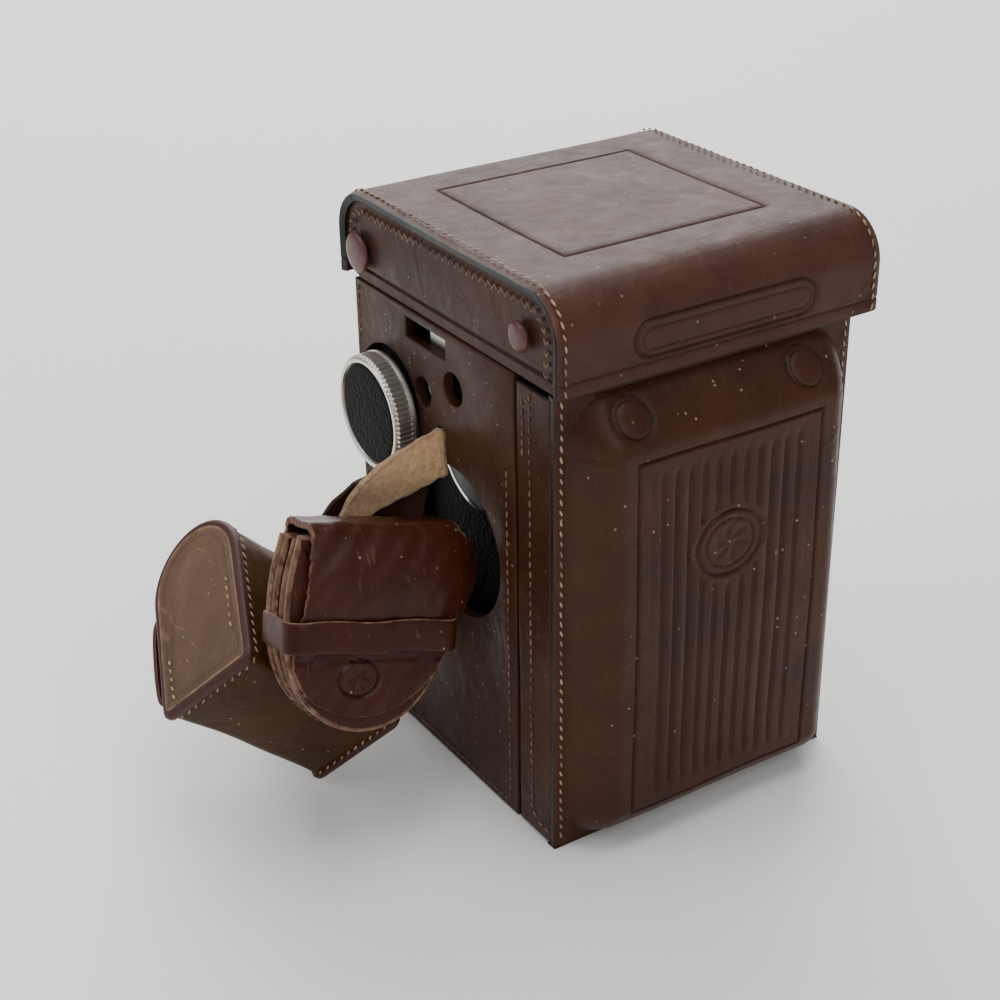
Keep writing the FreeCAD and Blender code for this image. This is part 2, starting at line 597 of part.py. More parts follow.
def camera_body():
    """A die casting, hollow behind each lens, open at the rear for the film and at the top for the screen."""
    casting = block(("-camera_half", "camera_front", "camera_low"), ("camera_half", "camera_back", "camera_high"))
    film_room = block(("-spool_half - 1.5", "camera_back - casting_wall * 2", "camera_low + casting_wall"),
                      ("spool_half + 1.5", "camera_back + 1", "camera_high - casting_wall"))
    feed_room = block(("-spool_half - 1.5", "feed_y - spool_radius - 0.8", "camera_low + casting_wall"),
                      ("spool_half + 1.5", "camera_back + 1", "feed_z + spool_radius + 0.4"))
    take_up_room = block(("-spool_half - 1.5", "knob_y - spool_radius - 0.8", "knob_z - spool_radius - 8"),
                         ("spool_half + 1.5", "camera_back + 1", "knob_z + spool_radius + 1.5"))
    roller_room = block(("-roller_half - 1.5", "roller_y - roller_radius - 0.6", "roller_high_z - 4.4"),
                        ("roller_half + 1.5", "camera_back + 1", "roller_high_z + 4"))
    dark_chamber = block(("-gate_half", "feed_y + spool_radius + 1", "taking_z - gate_half * 0.65"),
                         ("gate_half", "camera_back", "taking_z + gate_half"))
    throat = block(("-lens_throat_half", "camera_front + casting_wall", "taking_z - lens_throat_half"),
                   ("lens_throat_half", "feed_y + spool_radius + 2", "taking_z + lens_throat_half"))
    mirror_room = block(("-mirror_half - 1", "camera_front + casting_wall", "mirror_low - 2.5"),
                        ("mirror_half + 1", "knob_y - spool_radius - 3.6", "screen_low"))
    screen_seat = block(("-mirror_half - 2", "camera_front + casting_wall", "screen_low"),
                        ("mirror_half + 2", "knob_y - spool_radius - 3", "camera_high + 1"))
    holes = [rod("lens_hole_radius", "casting_wall * 4", ("0", "camera_front + casting_wall * 2", height),
                 ALONG_MINUS_Y) for height in ("taking_z", "viewing_z")]
    winding_hole = rod("spindle_radius + running_gap", "camera_half", ("-camera_half - 1", "knob_y", "knob_z"), ALONG_X)
    focus_hole = rod("focus_spindle + running_gap", "camera_half - 10", ("11", "side_hole_y", "side_hole_z"), ALONG_X)
    counter_seat = rod("counter_radius + 0.3", "2", ("-camera_half - 0.5", "counter_y", "counter_z"), ALONG_X)
    bush_seat = rod("bush_radius", "casting_wall + 1", ("0", "bush_y", "camera_low - 1"))
    tools = [film_room, feed_room, take_up_room, roller_room, dark_chamber, throat, mirror_room, screen_seat,
             winding_hole, focus_hole, counter_seat, bush_seat]
    subpart(cut(casting, tools + holes), "camera_body")


def side_skins():
    left = body("LeftSkin")
    pad(left, "YZ_Plane", f"-({SKIN})", "skin_gauge",
        [rectangle("camera_front + 1", "camera_low + 1", "camera_back - 1", "camera_high - 1")])
    pocket(left, "YZ_Plane", "-camera_half + 1", "skin_gauge + 2",
           circles=[("knob_y", "knob_z", "spindle_radius + 1"), ("counter_y", "counter_z", "counter_radius + 0.3"),
                    ("dial_y", "dial_z", "dial_radius")])
    subpart(left, "left_leatherette")

    right = body("RightSkin")
    pad(right, "YZ_Plane", "camera_half", "skin_gauge",
        [rectangle("camera_front + 1", "camera_low + 1", "camera_back - 1", "camera_high - 1")])
    pocket(right, "YZ_Plane", "camera_half + skin_gauge + 1", "skin_gauge + 2",
           circles=[("side_hole_y", "side_hole_z", "focus_spindle + 1")])
    subpart(right, "right_leatherette")


def back_door():
    door = block(("-camera_half", "camera_back", "camera_low"),
                 ("camera_half", "camera_back + door_gauge", "camera_high"))
    subpart(door, "back_door")


def pressure_plate():
    plate = block(("-gate_half - 2", "camera_back - 1.4", "taking_z - gate_half * 0.6"),
                  ("gate_half + 2", "camera_back - 0.2", "roller_high_z - 6"))
    subpart(plate, "pressure_plate")


def reflex_mirror():
    plate = doc.addObject("Part::Box", "Mirror")
    plate.setExpression("Length", bound("mirror_half * 2"))
    plate.setExpression("Width", bound("mirror_length"))
    plate.setExpression("Height", bound("mirror_gauge"))
    place(plate, ("-mirror_half", "mirror_front", "mirror_low"), ("0", "0", "45"))
    subpart(plate, "reflex_mirror")


def focusing_screen():
    screen = block(("-mirror_half - 1.9", "camera_front + casting_wall + 0.1", "screen_low"),
                   ("mirror_half + 1.9", "knob_y - spool_radius - 3.1", "camera_high - 0.6"))
    subpart(screen, "focusing_screen")


def finder_hood():
    """The folded hood: a frame, four thin leaves lying in it, a magnifier and a top plate."""
    outer = block(("-hood_half", "camera_front", "hood_low"), ("hood_half", "hood_back", "hood_high"))
    room = block(("-hood_half + hood_wall", "camera_front + hood_wall", "hood_low - 1"),
                 ("hood_half - hood_wall", "hood_back - hood_wall", "hood_high + 1"))
    subpart(cut(outer, [room]), "hood_frame")
    leaves = []
    for step in range(3):
        height = f"hood_high - 3 - {step} * (leaf_gauge + 0.8)"
        leaves.append(block(("-hood_half + hood_wall", "camera_front + hood_wall", height),
                            ("hood_half - hood_wall", "hood_back - hood_wall", f"{height} + leaf_gauge")))
    subpart(group(leaves), "hood_leaves")
    top = block(("-hood_half", "camera_front", "hood_high"), ("hood_half", "hood_back", "hood_high + hood_wall"))
    subpart(top, "hood_top_plate")
    glass = rod("magnifier_radius", "2", ("0", "hood_back / 2 + camera_front / 2", "hood_low + 6"))
    subpart(glass, "finder_magnifier")


def strap_lugs():
    """A ridged metal lug high on each side, seen through the slot of the case wall."""
    lugs = []
    for side in (-1, 1):
        low = f"{side} * ({SKIN})" if side > 0 else f"-({SKIN}) - lug_gauge / 2"
        lugs.append(block((low, "lug_front", "lug_slot_low - lug_height / 2"),
                          (f"{low} + lug_gauge / 2", "lug_back", "lug_slot_low + lug_height / 2")))
    subpart(group(lugs), "strap_lugs")


def side_dial():
    rim = cut(rod("dial_radius", "skin_gauge", ("-camera_half", "dial_y", "dial_z"), ALONG_MINUS_X),
              [rod("dial_radius - dial_rim", "skin_gauge * 3", ("-camera_half + 1", "dial_y", "dial_z"),
                   ALONG_MINUS_X)])
    subpart(rim, "side_dial_rim")
    plate = rod("dial_radius - dial_rim", "skin_gauge * 0.8", ("-camera_half", "dial_y", "dial_z"), ALONG_MINUS_X)
    subpart(plate, "side_dial_plate")


def tripod_bush():
    ring = cut(rod("bush_radius", "bush_height", ("0", "bush_y", "camera_low")),
               [rod("bush_thread_radius", "bush_depth * 2", ("0", "bush_y", "camera_low - bush_depth"))])
    subpart(ring, "tripod_bush")


# ---- winding and film transport -------------------------------------------------------------------------------

def winding_knob():
    """A hollow knob with a knurled rim, a thin flange behind it and a let-in leather disc."""
    flange_back = "knob_rim + knob_flange"
    rim = turned([("0", "knob_disc_sink"), ("knob_disc_radius", "knob_disc_sink"), ("knob_disc_radius", "0"),
                  ("knob_radius - 0.6", "0"), ("knob_radius", "0.6"), ("knob_radius", "knob_rim"),
                  ("knob_radius + 0.2", "knob_rim"), ("knob_radius + 0.2", flange_back), ("0", flange_back)],
                 ("knob_face", "knob_y", "knob_z"), ALONG_X)
    subpart(rim, "winding_knob")
    disc = rod("knob_disc_radius - 0.05", "knob_disc_sink - 0.1", ("knob_face + 0.1", "knob_y", "knob_z"), ALONG_X)
    subpart(disc, "winding_knob_disc")
    knob_back = "knob_face + knob_rim + knob_flange"
    shaft = rod("spindle_radius", f"-spool_half - ({knob_back})", (knob_back, "knob_y", "knob_z"), ALONG_X)
    subpart(shaft, "winding_shaft")


def film_spool(label, y, z):
    flanges = [rod("spool_radius - 0.4", "spool_flange", (start, y, z), ALONG_X)
               for start in ("-spool_half", "spool_half - spool_flange")]
    core = rod("spool_core", "spool_half * 2", ("-spool_half", y, z), ALONG_X)
    subpart(join(flanges + [core]), label)


def film_roller(label, z):
    subpart(rod("roller_radius", "roller_half * 2", ("-roller_half", "roller_y", z), ALONG_X), label)


def counter_dial():
    subpart(rod("counter_radius", "1.2", ("-camera_half + 0.4", "counter_y", "counter_z"), ALONG_MINUS_X),
            "counter_dial")


# ---- focusing and lenses --------------------------------------------------------------------------------------

def focusing():
    knob = turned([("0", "0"), ("focus_radius - 0.6", "0"), ("focus_radius", "0.6"), ("focus_radius", "knob_rim + 1"),
                   ("focus_radius - 3", "knob_rim + 2.4"), ("0", "knob_rim + 2.4")],
                  ("focus_face", "side_hole_y", "side_hole_z"), ALONG_MINUS_X)
    subpart(knob, "focusing_knob")
    inner = "focus_face - knob_rim - 2.4"
    shaft = rod("focus_spindle", f"({inner}) - 16", ("16", "side_hole_y", "side_hole_z"), ALONG_X)
    subpart(shaft, "focusing_shaft")


def lens_board():
    plate = block(("-board_half", "board_back - board_gauge", "board_low"), ("board_half", "board_back", "board_high"))
    holes = [rod("glass_radius", "board_gauge * 3", ("0", "board_back + board_gauge", height), ALONG_MINUS_Y)
             for height in ("taking_z", "viewing_z")]
    subpart(cut(plate, holes), "lens_board")


def tube(outer, bore, start, end, height):
    """A tube about a lens axis, from one Y to another nearer the front."""
    return cut(rod(outer, f"({start}) - ({end})", ("0", start, height), ALONG_MINUS_Y),
               [rod(bore, f"({start}) - ({end}) + 2", ("0", f"{start} + 1", height), ALONG_MINUS_Y)])


BOARD_FRONT = "board_back - board_gauge"
SHUTTER_FRONT = "board_back - board_gauge - shutter_gauge"


def lenses():
    subpart(tube("shutter_radius", "glass_radius + 0.5", BOARD_FRONT, SHUTTER_FRONT, "taking_z"), "shutter_housing")
    subpart(tube("barrel_radius", "glass_radius", SHUTTER_FRONT, "barrel_front", "taking_z"), "taking_lens_barrel")
    subpart(tube("barrel_radius + 1", "glass_radius", BOARD_FRONT, "barrel_front", "viewing_z"),
            "viewing_lens_barrel")
    for label, height in (("taking_lens_glass", "taking_z"), ("viewing_lens_glass", "viewing_z")):
        subpart(rod("glass_radius", "glass_gauge", ("0", "barrel_front + glass_gauge + 1", height), ALONG_MINUS_Y),
                label)


def lever(label, order, turn):
    """A ring about the taking lens with an arm; the rings of several levers lie one before another."""
    start = f"({SHUTTER_FRONT}) - 0.3 - {order} * (ring_gauge + 0.3)"
    inner = "barrel_radius + ring_gap"
    owner = body(label)
    pad(owner, "XY_Plane", "0", "ring_gauge", circles=[("0", "0", f"{inner} + ring_wall"), ("0", "0", inner)])
    pad(owner, "XY_Plane", "0", "ring_gauge",
        [rectangle(f"{inner} + 0.8", "-lever_width / 2", "lever_reach", "lever_width / 2")])
    place(owner, ("0", start, "taking_z"), ALONG_MINUS_Y)
    tilt = FreeCAD.Rotation(FreeCAD.Vector(0, 1, 0), turn)
    owner.Placement = FreeCAD.Placement(owner.Placement.Base, tilt * owner.Placement.Rotation)
    subpart(owner, label)


def build():
    case_base()
    case_left_wall()
    case_right_wall()
    case_back_wall()
    front_cover()
    cover_studs()
    front_hinge_strip()
    lid_shell()
    lid_side("lid_left_side", "lid_left")
    lid_side("lid_right_side", LID_INNER_RIGHT)
    lid_studs("lid_rivets", "rivet_radius", "rivet_y", "rivet_z")
    lid_studs("lid_press_studs", "snap_radius", "snap_y", "snap_z")
    lid_hinge_strip()
    accessory_strap()
    flap_pouch()
    hood_case()
    camera_body()
    side_skins()
    back_door()
    pressure_plate()
    reflex_mirror()
    focusing_screen()
    finder_hood()
    strap_lugs()
    side_dial()
    tripod_bush()
    winding_knob()
    film_spool("take_up_spool", "knob_y", "knob_z")
    film_spool("feed_spool", "feed_y", "feed_z")
    film_roller("lower_film_roller", "roller_low_z")
    film_roller("upper_film_roller", "roller_high_z")
    counter_dial()
    focusing()
    lens_board()
    lenses()
    lever("aperture_lever", 0, 200)
    lever("speed_lever", 1, -20)
    lever("release_lever", 2, 60)


def write_parts():
    """Checks every object and writes one STEP file for each sub-part."""
    doc.recompute()
    for item in doc.Objects:
        if "Invalid" in item.State or "Error" in item.State:
            raise RuntimeError(f"{item.Label} failed: {item.State}")
    os.makedirs("parts", exist_ok=True)
    for item in subparts:
        if item.Shape.isNull() or not item.Shape.isValid():
            raise RuntimeError(f"{item.Label} has no valid shape")
        item.Shape.exportStep(os.path.join("parts", item.Label + ".step"))
        print(item.Label, round(item.Shape.Volume, 1), len(item.Shape.Solids))


build()
write_parts()
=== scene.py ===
import json
import math
import random

import bmesh
import bpy
from bpy.props import FloatProperty, FloatVectorProperty, IntProperty, PointerProperty
from mathutils import Euler, Matrix, Vector


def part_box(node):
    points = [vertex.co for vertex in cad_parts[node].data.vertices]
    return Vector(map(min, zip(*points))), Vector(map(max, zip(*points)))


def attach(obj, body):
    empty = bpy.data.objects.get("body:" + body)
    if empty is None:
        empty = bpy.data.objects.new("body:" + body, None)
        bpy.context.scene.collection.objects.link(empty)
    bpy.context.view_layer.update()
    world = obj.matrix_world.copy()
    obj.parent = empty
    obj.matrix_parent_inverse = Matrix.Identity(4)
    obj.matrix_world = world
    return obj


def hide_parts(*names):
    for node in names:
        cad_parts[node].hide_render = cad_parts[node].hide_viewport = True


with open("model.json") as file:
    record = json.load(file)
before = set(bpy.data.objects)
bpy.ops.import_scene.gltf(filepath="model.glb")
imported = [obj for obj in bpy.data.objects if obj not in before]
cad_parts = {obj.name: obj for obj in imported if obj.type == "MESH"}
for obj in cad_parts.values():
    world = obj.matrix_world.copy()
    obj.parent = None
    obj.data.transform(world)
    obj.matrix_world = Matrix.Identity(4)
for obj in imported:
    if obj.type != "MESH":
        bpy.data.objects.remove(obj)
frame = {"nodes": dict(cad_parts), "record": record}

bl_info = {
    "name": "Cased twin lens camera",
    "version": (1, 0, 0),
    "blender": (4, 5, 0),
    "location": "3D View > Sidebar > Camera Case",
    "description": "Dresses the twin lens camera's frame in stitched leather, pouches and metal fittings",
    "category": "Object",
}

# All modelling is done in millimetres in the frame of the CAD model; a finished mesh is scaled to metres.
MM = 0.001

# The flap pouch and the lens hood case hang askew: each has its own origin and its turn about X, Y and Z.
POUCH_ORIGIN = Vector((-90.5, -6.7, 90.1))
POUCH_TURN = Euler([math.radians(angle) for angle in (-17.4, 13.9, -7.3)], "XYZ")
HOOD_CASE_ORIGIN = Vector((-121.9, 13.3, 34.75))
HOOD_CASE_TURN = Euler([math.radians(angle) for angle in (-60.8, -41.8, -42.1)], "XYZ")


def srgb(text):
    """A linear colour from an sRGB hex value such as 5a2f24."""
    channels = [int(text[start:start + 2], 16) / 255 for start in (0, 2, 4)]
    return tuple(c / 12.92 if c <= 0.04045 else ((c + 0.055) / 1.055) ** 2.4 for c in channels)


def corners(node):
    """Lowest and highest corner of a CAD node, in millimetres."""
    low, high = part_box(node)
    return low / MM, high / MM


# ---- settings ------------------------------------------------------------------------------------

class CaseSettings(bpy.types.PropertyGroup):
    gauge: FloatProperty(name="Leather", description="Thickness of the case leather", default=0.0026,
                         unit="LENGTH")
    stitch_pitch: FloatProperty(name="Stitch pitch", description="Distance between two stitches",
                                default=0.0027, unit="LENGTH")
    thread: FloatProperty(name="Thread", description="Thickness of the sewing thread", default=0.00056,
                          unit="LENGTH")
    emboss: FloatProperty(name="Embossing", description="Depth of the pressed lines", default=0.0006,
                          unit="LENGTH")
    ribs: IntProperty(name="Ribs", description="Pressed vertical lines of the front", default=13)
    front_colour: FloatVectorProperty(name="Case leather",
                                      description="Dyed cowhide of the walls and the front",
                                      subtype="COLOR", default=srgb("3a2013"))
    lid_colour: FloatVectorProperty(name="Lid leather", description="The lid's leather, a little faded",
                                    subtype="COLOR", default=srgb("432920"))
    thread_colour: FloatVectorProperty(name="Thread", description="Waxed linen thread", subtype="COLOR",
                                       default=srgb("9c8062"))
    edge_colour: FloatVectorProperty(name="Edge paint", description="Burnished paint on the cut edges",
                                     subtype="COLOR", default=srgb("10131a"))


class PouchSettings(bpy.types.PropertyGroup):
    pouch_colour: FloatVectorProperty(name="Flap pouch", description="Polished leather of the flap pouch",
                                      subtype="COLOR", default=srgb("3a1a10"))
    # The caps' lighter, greyer leather is partly a painted reflection of the bright surroundings.
    hood_case_colour: FloatVectorProperty(name="Hood case", description="Leather of the lens hood case",
                                          subtype="COLOR", default=srgb("5c4636"))
    # The suede's tan, pushed lighter than the suede itself: painted light for the bright light falling on the
    # strap.
    suede_colour: FloatVectorProperty(name="Suede", description="Flesh side of the strap", subtype="COLOR",
                                      default=srgb("f5b27c"))


class FittingSettings(bpy.types.PropertyGroup):
    knurls: IntProperty(name="Knurls", description="Ridges round the winding knob", default=72)
    nickel_colour: FloatVectorProperty(name="Satin nickel", description="Knobs and levers", subtype="COLOR",
                                       default=srgb("d2cec6"))
    enamel_colour: FloatVectorProperty(name="Stud enamel", description="Domes of the rivets and press studs",
                                       subtype="COLOR", default=srgb("4c1d16"))


class StageSettings(bpy.types.PropertyGroup):
    floor_colour: FloatVectorProperty(name="Floor", description="Plain pale floor", subtype="COLOR",
                                      default=srgb("efedea"))
    window_power: FloatProperty(name="Window light", description="Strength of the large soft light",
                                default=50.0, unit="POWER")


# ---- materials -----------------------------------------------------------------------------------

def add_node(tree, kind, settings=None, **links):
    """Adds a node, sets its properties, inputs and colour stops, and links the inputs given as sockets."""
    item = tree.nodes.new(kind)
    named = {int(key[1:]) if key[1:].isdigit() else key.replace("_", " "): source for key,
             source in links.items()}
    for key, setting in {**(settings or {}), **named}.items():
        if key == "stops":
            elements = item.color_ramp.elements
            while len(elements) < len(setting):
                elements.new(0.5)
            for element, (position, level) in zip(elements, setting):
                element.position = position
                element.color = (level, level, level, 1)
        elif not isinstance(key, int) and key not in item.inputs:
            setattr(item, key, setting)
        elif isinstance(setting, bpy.types.NodeSocket):
            tree.links.new(setting, item.inputs[key])
        elif item.inputs[key].type == "RGBA":
            item.inputs[key].default_value = (*setting[:3], 1)
        else:
            item.inputs[key].default_value = setting
    return item


def start_material(name):
    """An empty node material with its output, and the object's own coordinates."""
    material = bpy.data.materials.new(name)
    material.use_nodes = True
    tree = material.node_tree
    tree.nodes.clear()
    place = tree.nodes.new("ShaderNodeTexCoord").outputs["Object"]
    return material, tree, place


def end_material(tree, shader):
    output = tree.nodes.new("ShaderNodeOutputMaterial")
    tree.links.new(shader.outputs["BSDF"], output.inputs["Surface"])


def per_mm(size):
    """A texture scale whose features are about this many millimetres across."""
    return 1 / (size * MM)


def scaled(colour, factor):
    return tuple(min(1.0, channel * factor) for channel in colour[:3])


def leather(name, colour, roughness, coat=0.12, grain=0.7, grain_depth=0.035, dust=0.5, scratches=0.5,
            wear_and_highlight=None):
    """Vegetable tanned cowhide, dyed and oiled: a fine pebble, cloudy colour, dust and pale scuffs, worn pale
    edges, painted shade in pressed lines and a painted highlight on some bends.
    """
    material, tree, place = start_material(name)
    wear_and_highlight = wear_and_highlight or scaled(colour, 2.6)
    clouds = add_node(tree, "ShaderNodeTexNoise", {"Scale": per_mm(26), "Detail": 5.0, "Roughness": 0.6},
                      Vector=place)
    cloud_step = add_node(tree, "ShaderNodeValToRGB", {"stops": [(0.34, 0.0), (0.68, 1.0)]},
                          Fac=clouds.outputs["Fac"])
    tone = add_node(tree, "ShaderNodeMix", {"data_type": "RGBA", 0: cloud_step.outputs["Color"],
                                            6: scaled(colour, 0.72), 7: scaled(colour, 1.22)}).outputs[2]
    rub = add_node(tree, "ShaderNodeTexNoise", {"Scale": per_mm(7), "Detail": 8.0, "Roughness": 0.72},
                   Vector=place)
    rub_step = add_node(tree, "ShaderNodeValToRGB", {"stops": [(0.56, 0.0), (0.8, 0.35)]},
                        Fac=rub.outputs["Fac"])
    tone = add_node(tree, "ShaderNodeMix", {"data_type": "RGBA", 0: rub_step.outputs["Color"], 6: tone,
                                            7: scaled(colour, 1.75)}).outputs[2]

    # Negative shade darkens the colour towards scaled(colour, 0.3): painted shade in pressed lines, ribs and
    # marks, and a darker band along the strap's long edges.
    shade = add_node(tree, "ShaderNodeAttribute", {"attribute_name": "shade"}).outputs["Fac"]
    shade_darkening = add_node(tree, "ShaderNodeMapRange", {"From Min": 0.0, "From Max": -1.0, "To Max": 0.62},
                      Value=shade)
    tone = add_node(tree, "ShaderNodeMix", {"data_type": "RGBA", 0: shade_darkening.outputs["Result"], 6: tone,
                                            7: scaled(colour, 0.3)}).outputs[2]
    # Positive shade, broken up by noise, lightens towards the pale colour: real wear on the edges, and a
    # painted highlight across the lid's front bend and along the nose's shoulder.
    edge_noise = add_node(tree, "ShaderNodeTexNoise", {"Scale": per_mm(3.2), "Detail": 6.0}, Vector=place)
    edge_amount = add_node(tree, "ShaderNodeMath", {"operation": "MULTIPLY", 0: shade,
                                                    1: edge_noise.outputs["Fac"]})
    edge_step = add_node(tree, "ShaderNodeMapRange", {"From Min": 0.18, "From Max": 0.6, "To Max": 0.85},
                         Value=edge_amount.outputs[0])
    tone = add_node(tree, "ShaderNodeMix", {"data_type": "RGBA", 0: edge_step.outputs["Result"], 6: tone,
                                            7: wear_and_highlight}).outputs[2]

    # scuffs: long thin scratches in two directions, drawn half a millimetre wide so that they show
    for turn, share in ((0.5, 0.66), (-0.9, 0.69)):
        turned = add_node(tree, "ShaderNodeMapping",
                          {"Rotation": (0.4, turn, turn), "Scale": (1.0, 0.14, 0.24)}, Vector=place)
        lines = add_node(tree, "ShaderNodeTexNoise", {"Scale": per_mm(1.6), "Detail": 2.0, "Distortion": 0.6},
                         Vector=turned.outputs["Vector"])
        line_step = add_node(tree, "ShaderNodeValToRGB",
                             {"stops": [(share, 0.0), (share + 0.035, 0.55 * scratches),
                                        (share + 0.1, 0.15)]},
                             Fac=lines.outputs["Fac"])
        tone = add_node(tree, "ShaderNodeMix", {"data_type": "RGBA", 0: line_step.outputs["Color"],
                                                6: tone, 7: wear_and_highlight}).outputs[2]

    # dust: pale specks a few tenths of a millimetre across, thicker in some places than in others
    specks = add_node(tree, "ShaderNodeTexVoronoi", {"Scale": per_mm(2.1), "Randomness": 1.0}, Vector=place)
    speck_size = add_node(tree, "ShaderNodeMapRange", {"From Min": 0.2, "From Max": 0.1},
                          Value=specks.outputs["Distance"])
    speck_pick = add_node(tree, "ShaderNodeSeparateColor", {}, Color=specks.outputs["Color"])
    speck_few = add_node(tree, "ShaderNodeMapRange", {"From Min": 0.90, "From Max": 0.94, "To Max": dust},
                         Value=speck_pick.outputs["Red"])
    speck_mix = add_node(tree, "ShaderNodeMath", {"operation": "MULTIPLY", 0: speck_size.outputs["Result"],
                                                  1: speck_few.outputs["Result"]})
    tone = add_node(tree, "ShaderNodeMix", {"data_type": "RGBA", 0: speck_mix.outputs[0], 6: tone,
                                            7: srgb("b49c88")}).outputs[2]

    pebble = add_node(tree, "ShaderNodeTexVoronoi", {"Scale": per_mm(grain), "feature": "SMOOTH_F1"},
                      Vector=place)
    pores = add_node(tree, "ShaderNodeTexNoise", {"Scale": per_mm(grain * 0.5), "Detail": 3.0}, Vector=place)
    creases = add_node(tree, "ShaderNodeTexNoise", {"Scale": per_mm(9), "Detail": 6.0, "Distortion": 0.8},
                       Vector=place)
    deep = add_node(tree, "ShaderNodeBump", {"Strength": 1.0, "Distance": 0.5 * MM},
                    Height=creases.outputs["Fac"])
    fine = add_node(tree, "ShaderNodeBump", {"Strength": 0.8, "Distance": grain_depth * MM},
                    Height=pebble.outputs["Distance"], Normal=deep.outputs["Normal"])
    finest = add_node(tree, "ShaderNodeBump", {"Strength": 0.7, "Distance": grain_depth * MM},
                      Height=pores.outputs["Fac"], Normal=fine.outputs["Normal"])
    gloss = add_node(tree, "ShaderNodeMapRange", {"From Min": 0.3, "From Max": 0.75,
                                                  "To Min": roughness - 0.07,
                                                  "To Max": roughness + 0.13}, Value=rub.outputs["Fac"])
    shader = add_node(tree, "ShaderNodeBsdfPrincipled",
                      {"IOR": 1.46, "Specular IOR Level": 0.16, "Coat Weight": coat, "Coat Roughness": 0.3},
                      Base_Color=tone, Roughness=gloss.outputs["Result"], Normal=finest.outputs["Normal"])
    end_material(tree, shader)
    return material


def suede(name, colour):
    """The flesh side of leather: a short matted nap with no gloss, light and dark where it was brushed."""
    material, tree, place = start_material(name)
    nap = add_node(tree, "ShaderNodeTexNoise", {"Scale": per_mm(1.5), "Detail": 6.0, "Roughness": 0.7},
                   Vector=place)
    nap_step = add_node(tree, "ShaderNodeMapRange", {"From Min": 0.36, "From Max": 0.62},
                        Value=nap.outputs["Fac"])
    clouds = add_node(tree, "ShaderNodeTexNoise", {"Scale": per_mm(9), "Detail": 4.0}, Vector=place)
    tone = add_node(tree, "ShaderNodeMix", {"data_type": "RGBA", 0: nap_step.outputs["Result"],
                                            6: scaled(colour, 0.5), 7: scaled(colour, 1.7)}).outputs[2]
    tone = add_node(tree, "ShaderNodeMix", {"data_type": "RGBA", 0: clouds.outputs["Fac"], 6: tone,
                                            7: scaled(colour, 0.75)}).outputs[2]
    # Negative shade darkens towards 3a2018, along the strap's long edges.
    shade = add_node(tree, "ShaderNodeAttribute", {"attribute_name": "shade"}).outputs["Fac"]
    edge_darkening = add_node(tree, "ShaderNodeMapRange", {"From Min": 0.0, "From Max": -1.0, "To Max": 0.9},
                     Value=shade)
    tone = add_node(tree, "ShaderNodeMix", {"data_type": "RGBA", 0: edge_darkening.outputs["Result"], 6: tone,
                                            7: srgb("3a2018")}).outputs[2]
    bump = add_node(tree, "ShaderNodeBump", {"Strength": 1.0, "Distance": 0.9 * MM},
                    Height=nap.outputs["Fac"])
    shader = add_node(tree, "ShaderNodeBsdfPrincipled",
                      {"Roughness": 0.95, "IOR": 1.4, "Sheen Weight": 0.35, "Sheen Roughness": 0.6},
                      Base_Color=tone, Normal=bump.outputs["Normal"])
    end_material(tree, shader)
    return material


def edge_paint(name, colour):
    """Burnished edge paint over cut leather: dark and half glossy, cracked through to brown in places."""
    material, tree, place = start_material(name)
    cracks = add_node(tree, "ShaderNodeTexNoise", {"Scale": per_mm(2.6), "Detail": 8.0, "Roughness": 0.7},
                      Vector=place)
    step = add_node(tree, "ShaderNodeValToRGB", {"stops": [(0.52, 0.0), (0.72, 0.8)]},
                    Fac=cracks.outputs["Fac"])
    tone = add_node(tree, "ShaderNodeMix", {"data_type": "RGBA", 0: step.outputs["Color"], 6: colour,
                                            7: srgb("46291f")}).outputs[2]
    bump = add_node(tree, "ShaderNodeBump", {"Strength": 0.8, "Distance": 0.15 * MM},
                    Height=cracks.outputs["Fac"])
    shader = add_node(tree, "ShaderNodeBsdfPrincipled", {"Roughness": 0.45, "Specular IOR Level": 0.3},
                      Base_Color=tone, Normal=bump.outputs["Normal"])
    end_material(tree, shader)
    return material


def linen_thread(name, colour):
    """Waxed linen thread: a twisted strand, matt, dirtied here and there."""
    material, tree, place = start_material(name)
    dirt = add_node(tree, "ShaderNodeTexNoise", {"Scale": per_mm(11), "Detail": 3.0}, Vector=place)
    step = add_node(tree, "ShaderNodeValToRGB", {"stops": [(0.38, 0.0), (0.64, 1.0)]},
                    Fac=dirt.outputs["Fac"])
    tone = add_node(tree, "ShaderNodeMix", {"data_type": "RGBA", 0: step.outputs["Color"],
                                            6: scaled(colour, 1.25), 7: scaled(colour, 0.42)}).outputs[2]
    twist = add_node(tree, "ShaderNodeTexNoise", {"Scale": per_mm(0.3), "Detail": 2.0}, Vector=place)
    bump = add_node(tree, "ShaderNodeBump", {"Strength": 0.8, "Distance": 0.1 * MM},
                    Height=twist.outputs["Fac"])
    shader = add_node(tree, "ShaderNodeBsdfPrincipled", {"Roughness": 0.72, "IOR": 1.5, "Sheen Weight": 0.1},
                      Base_Color=tone, Normal=bump.outputs["Normal"])
    end_material(tree, shader)
    return material


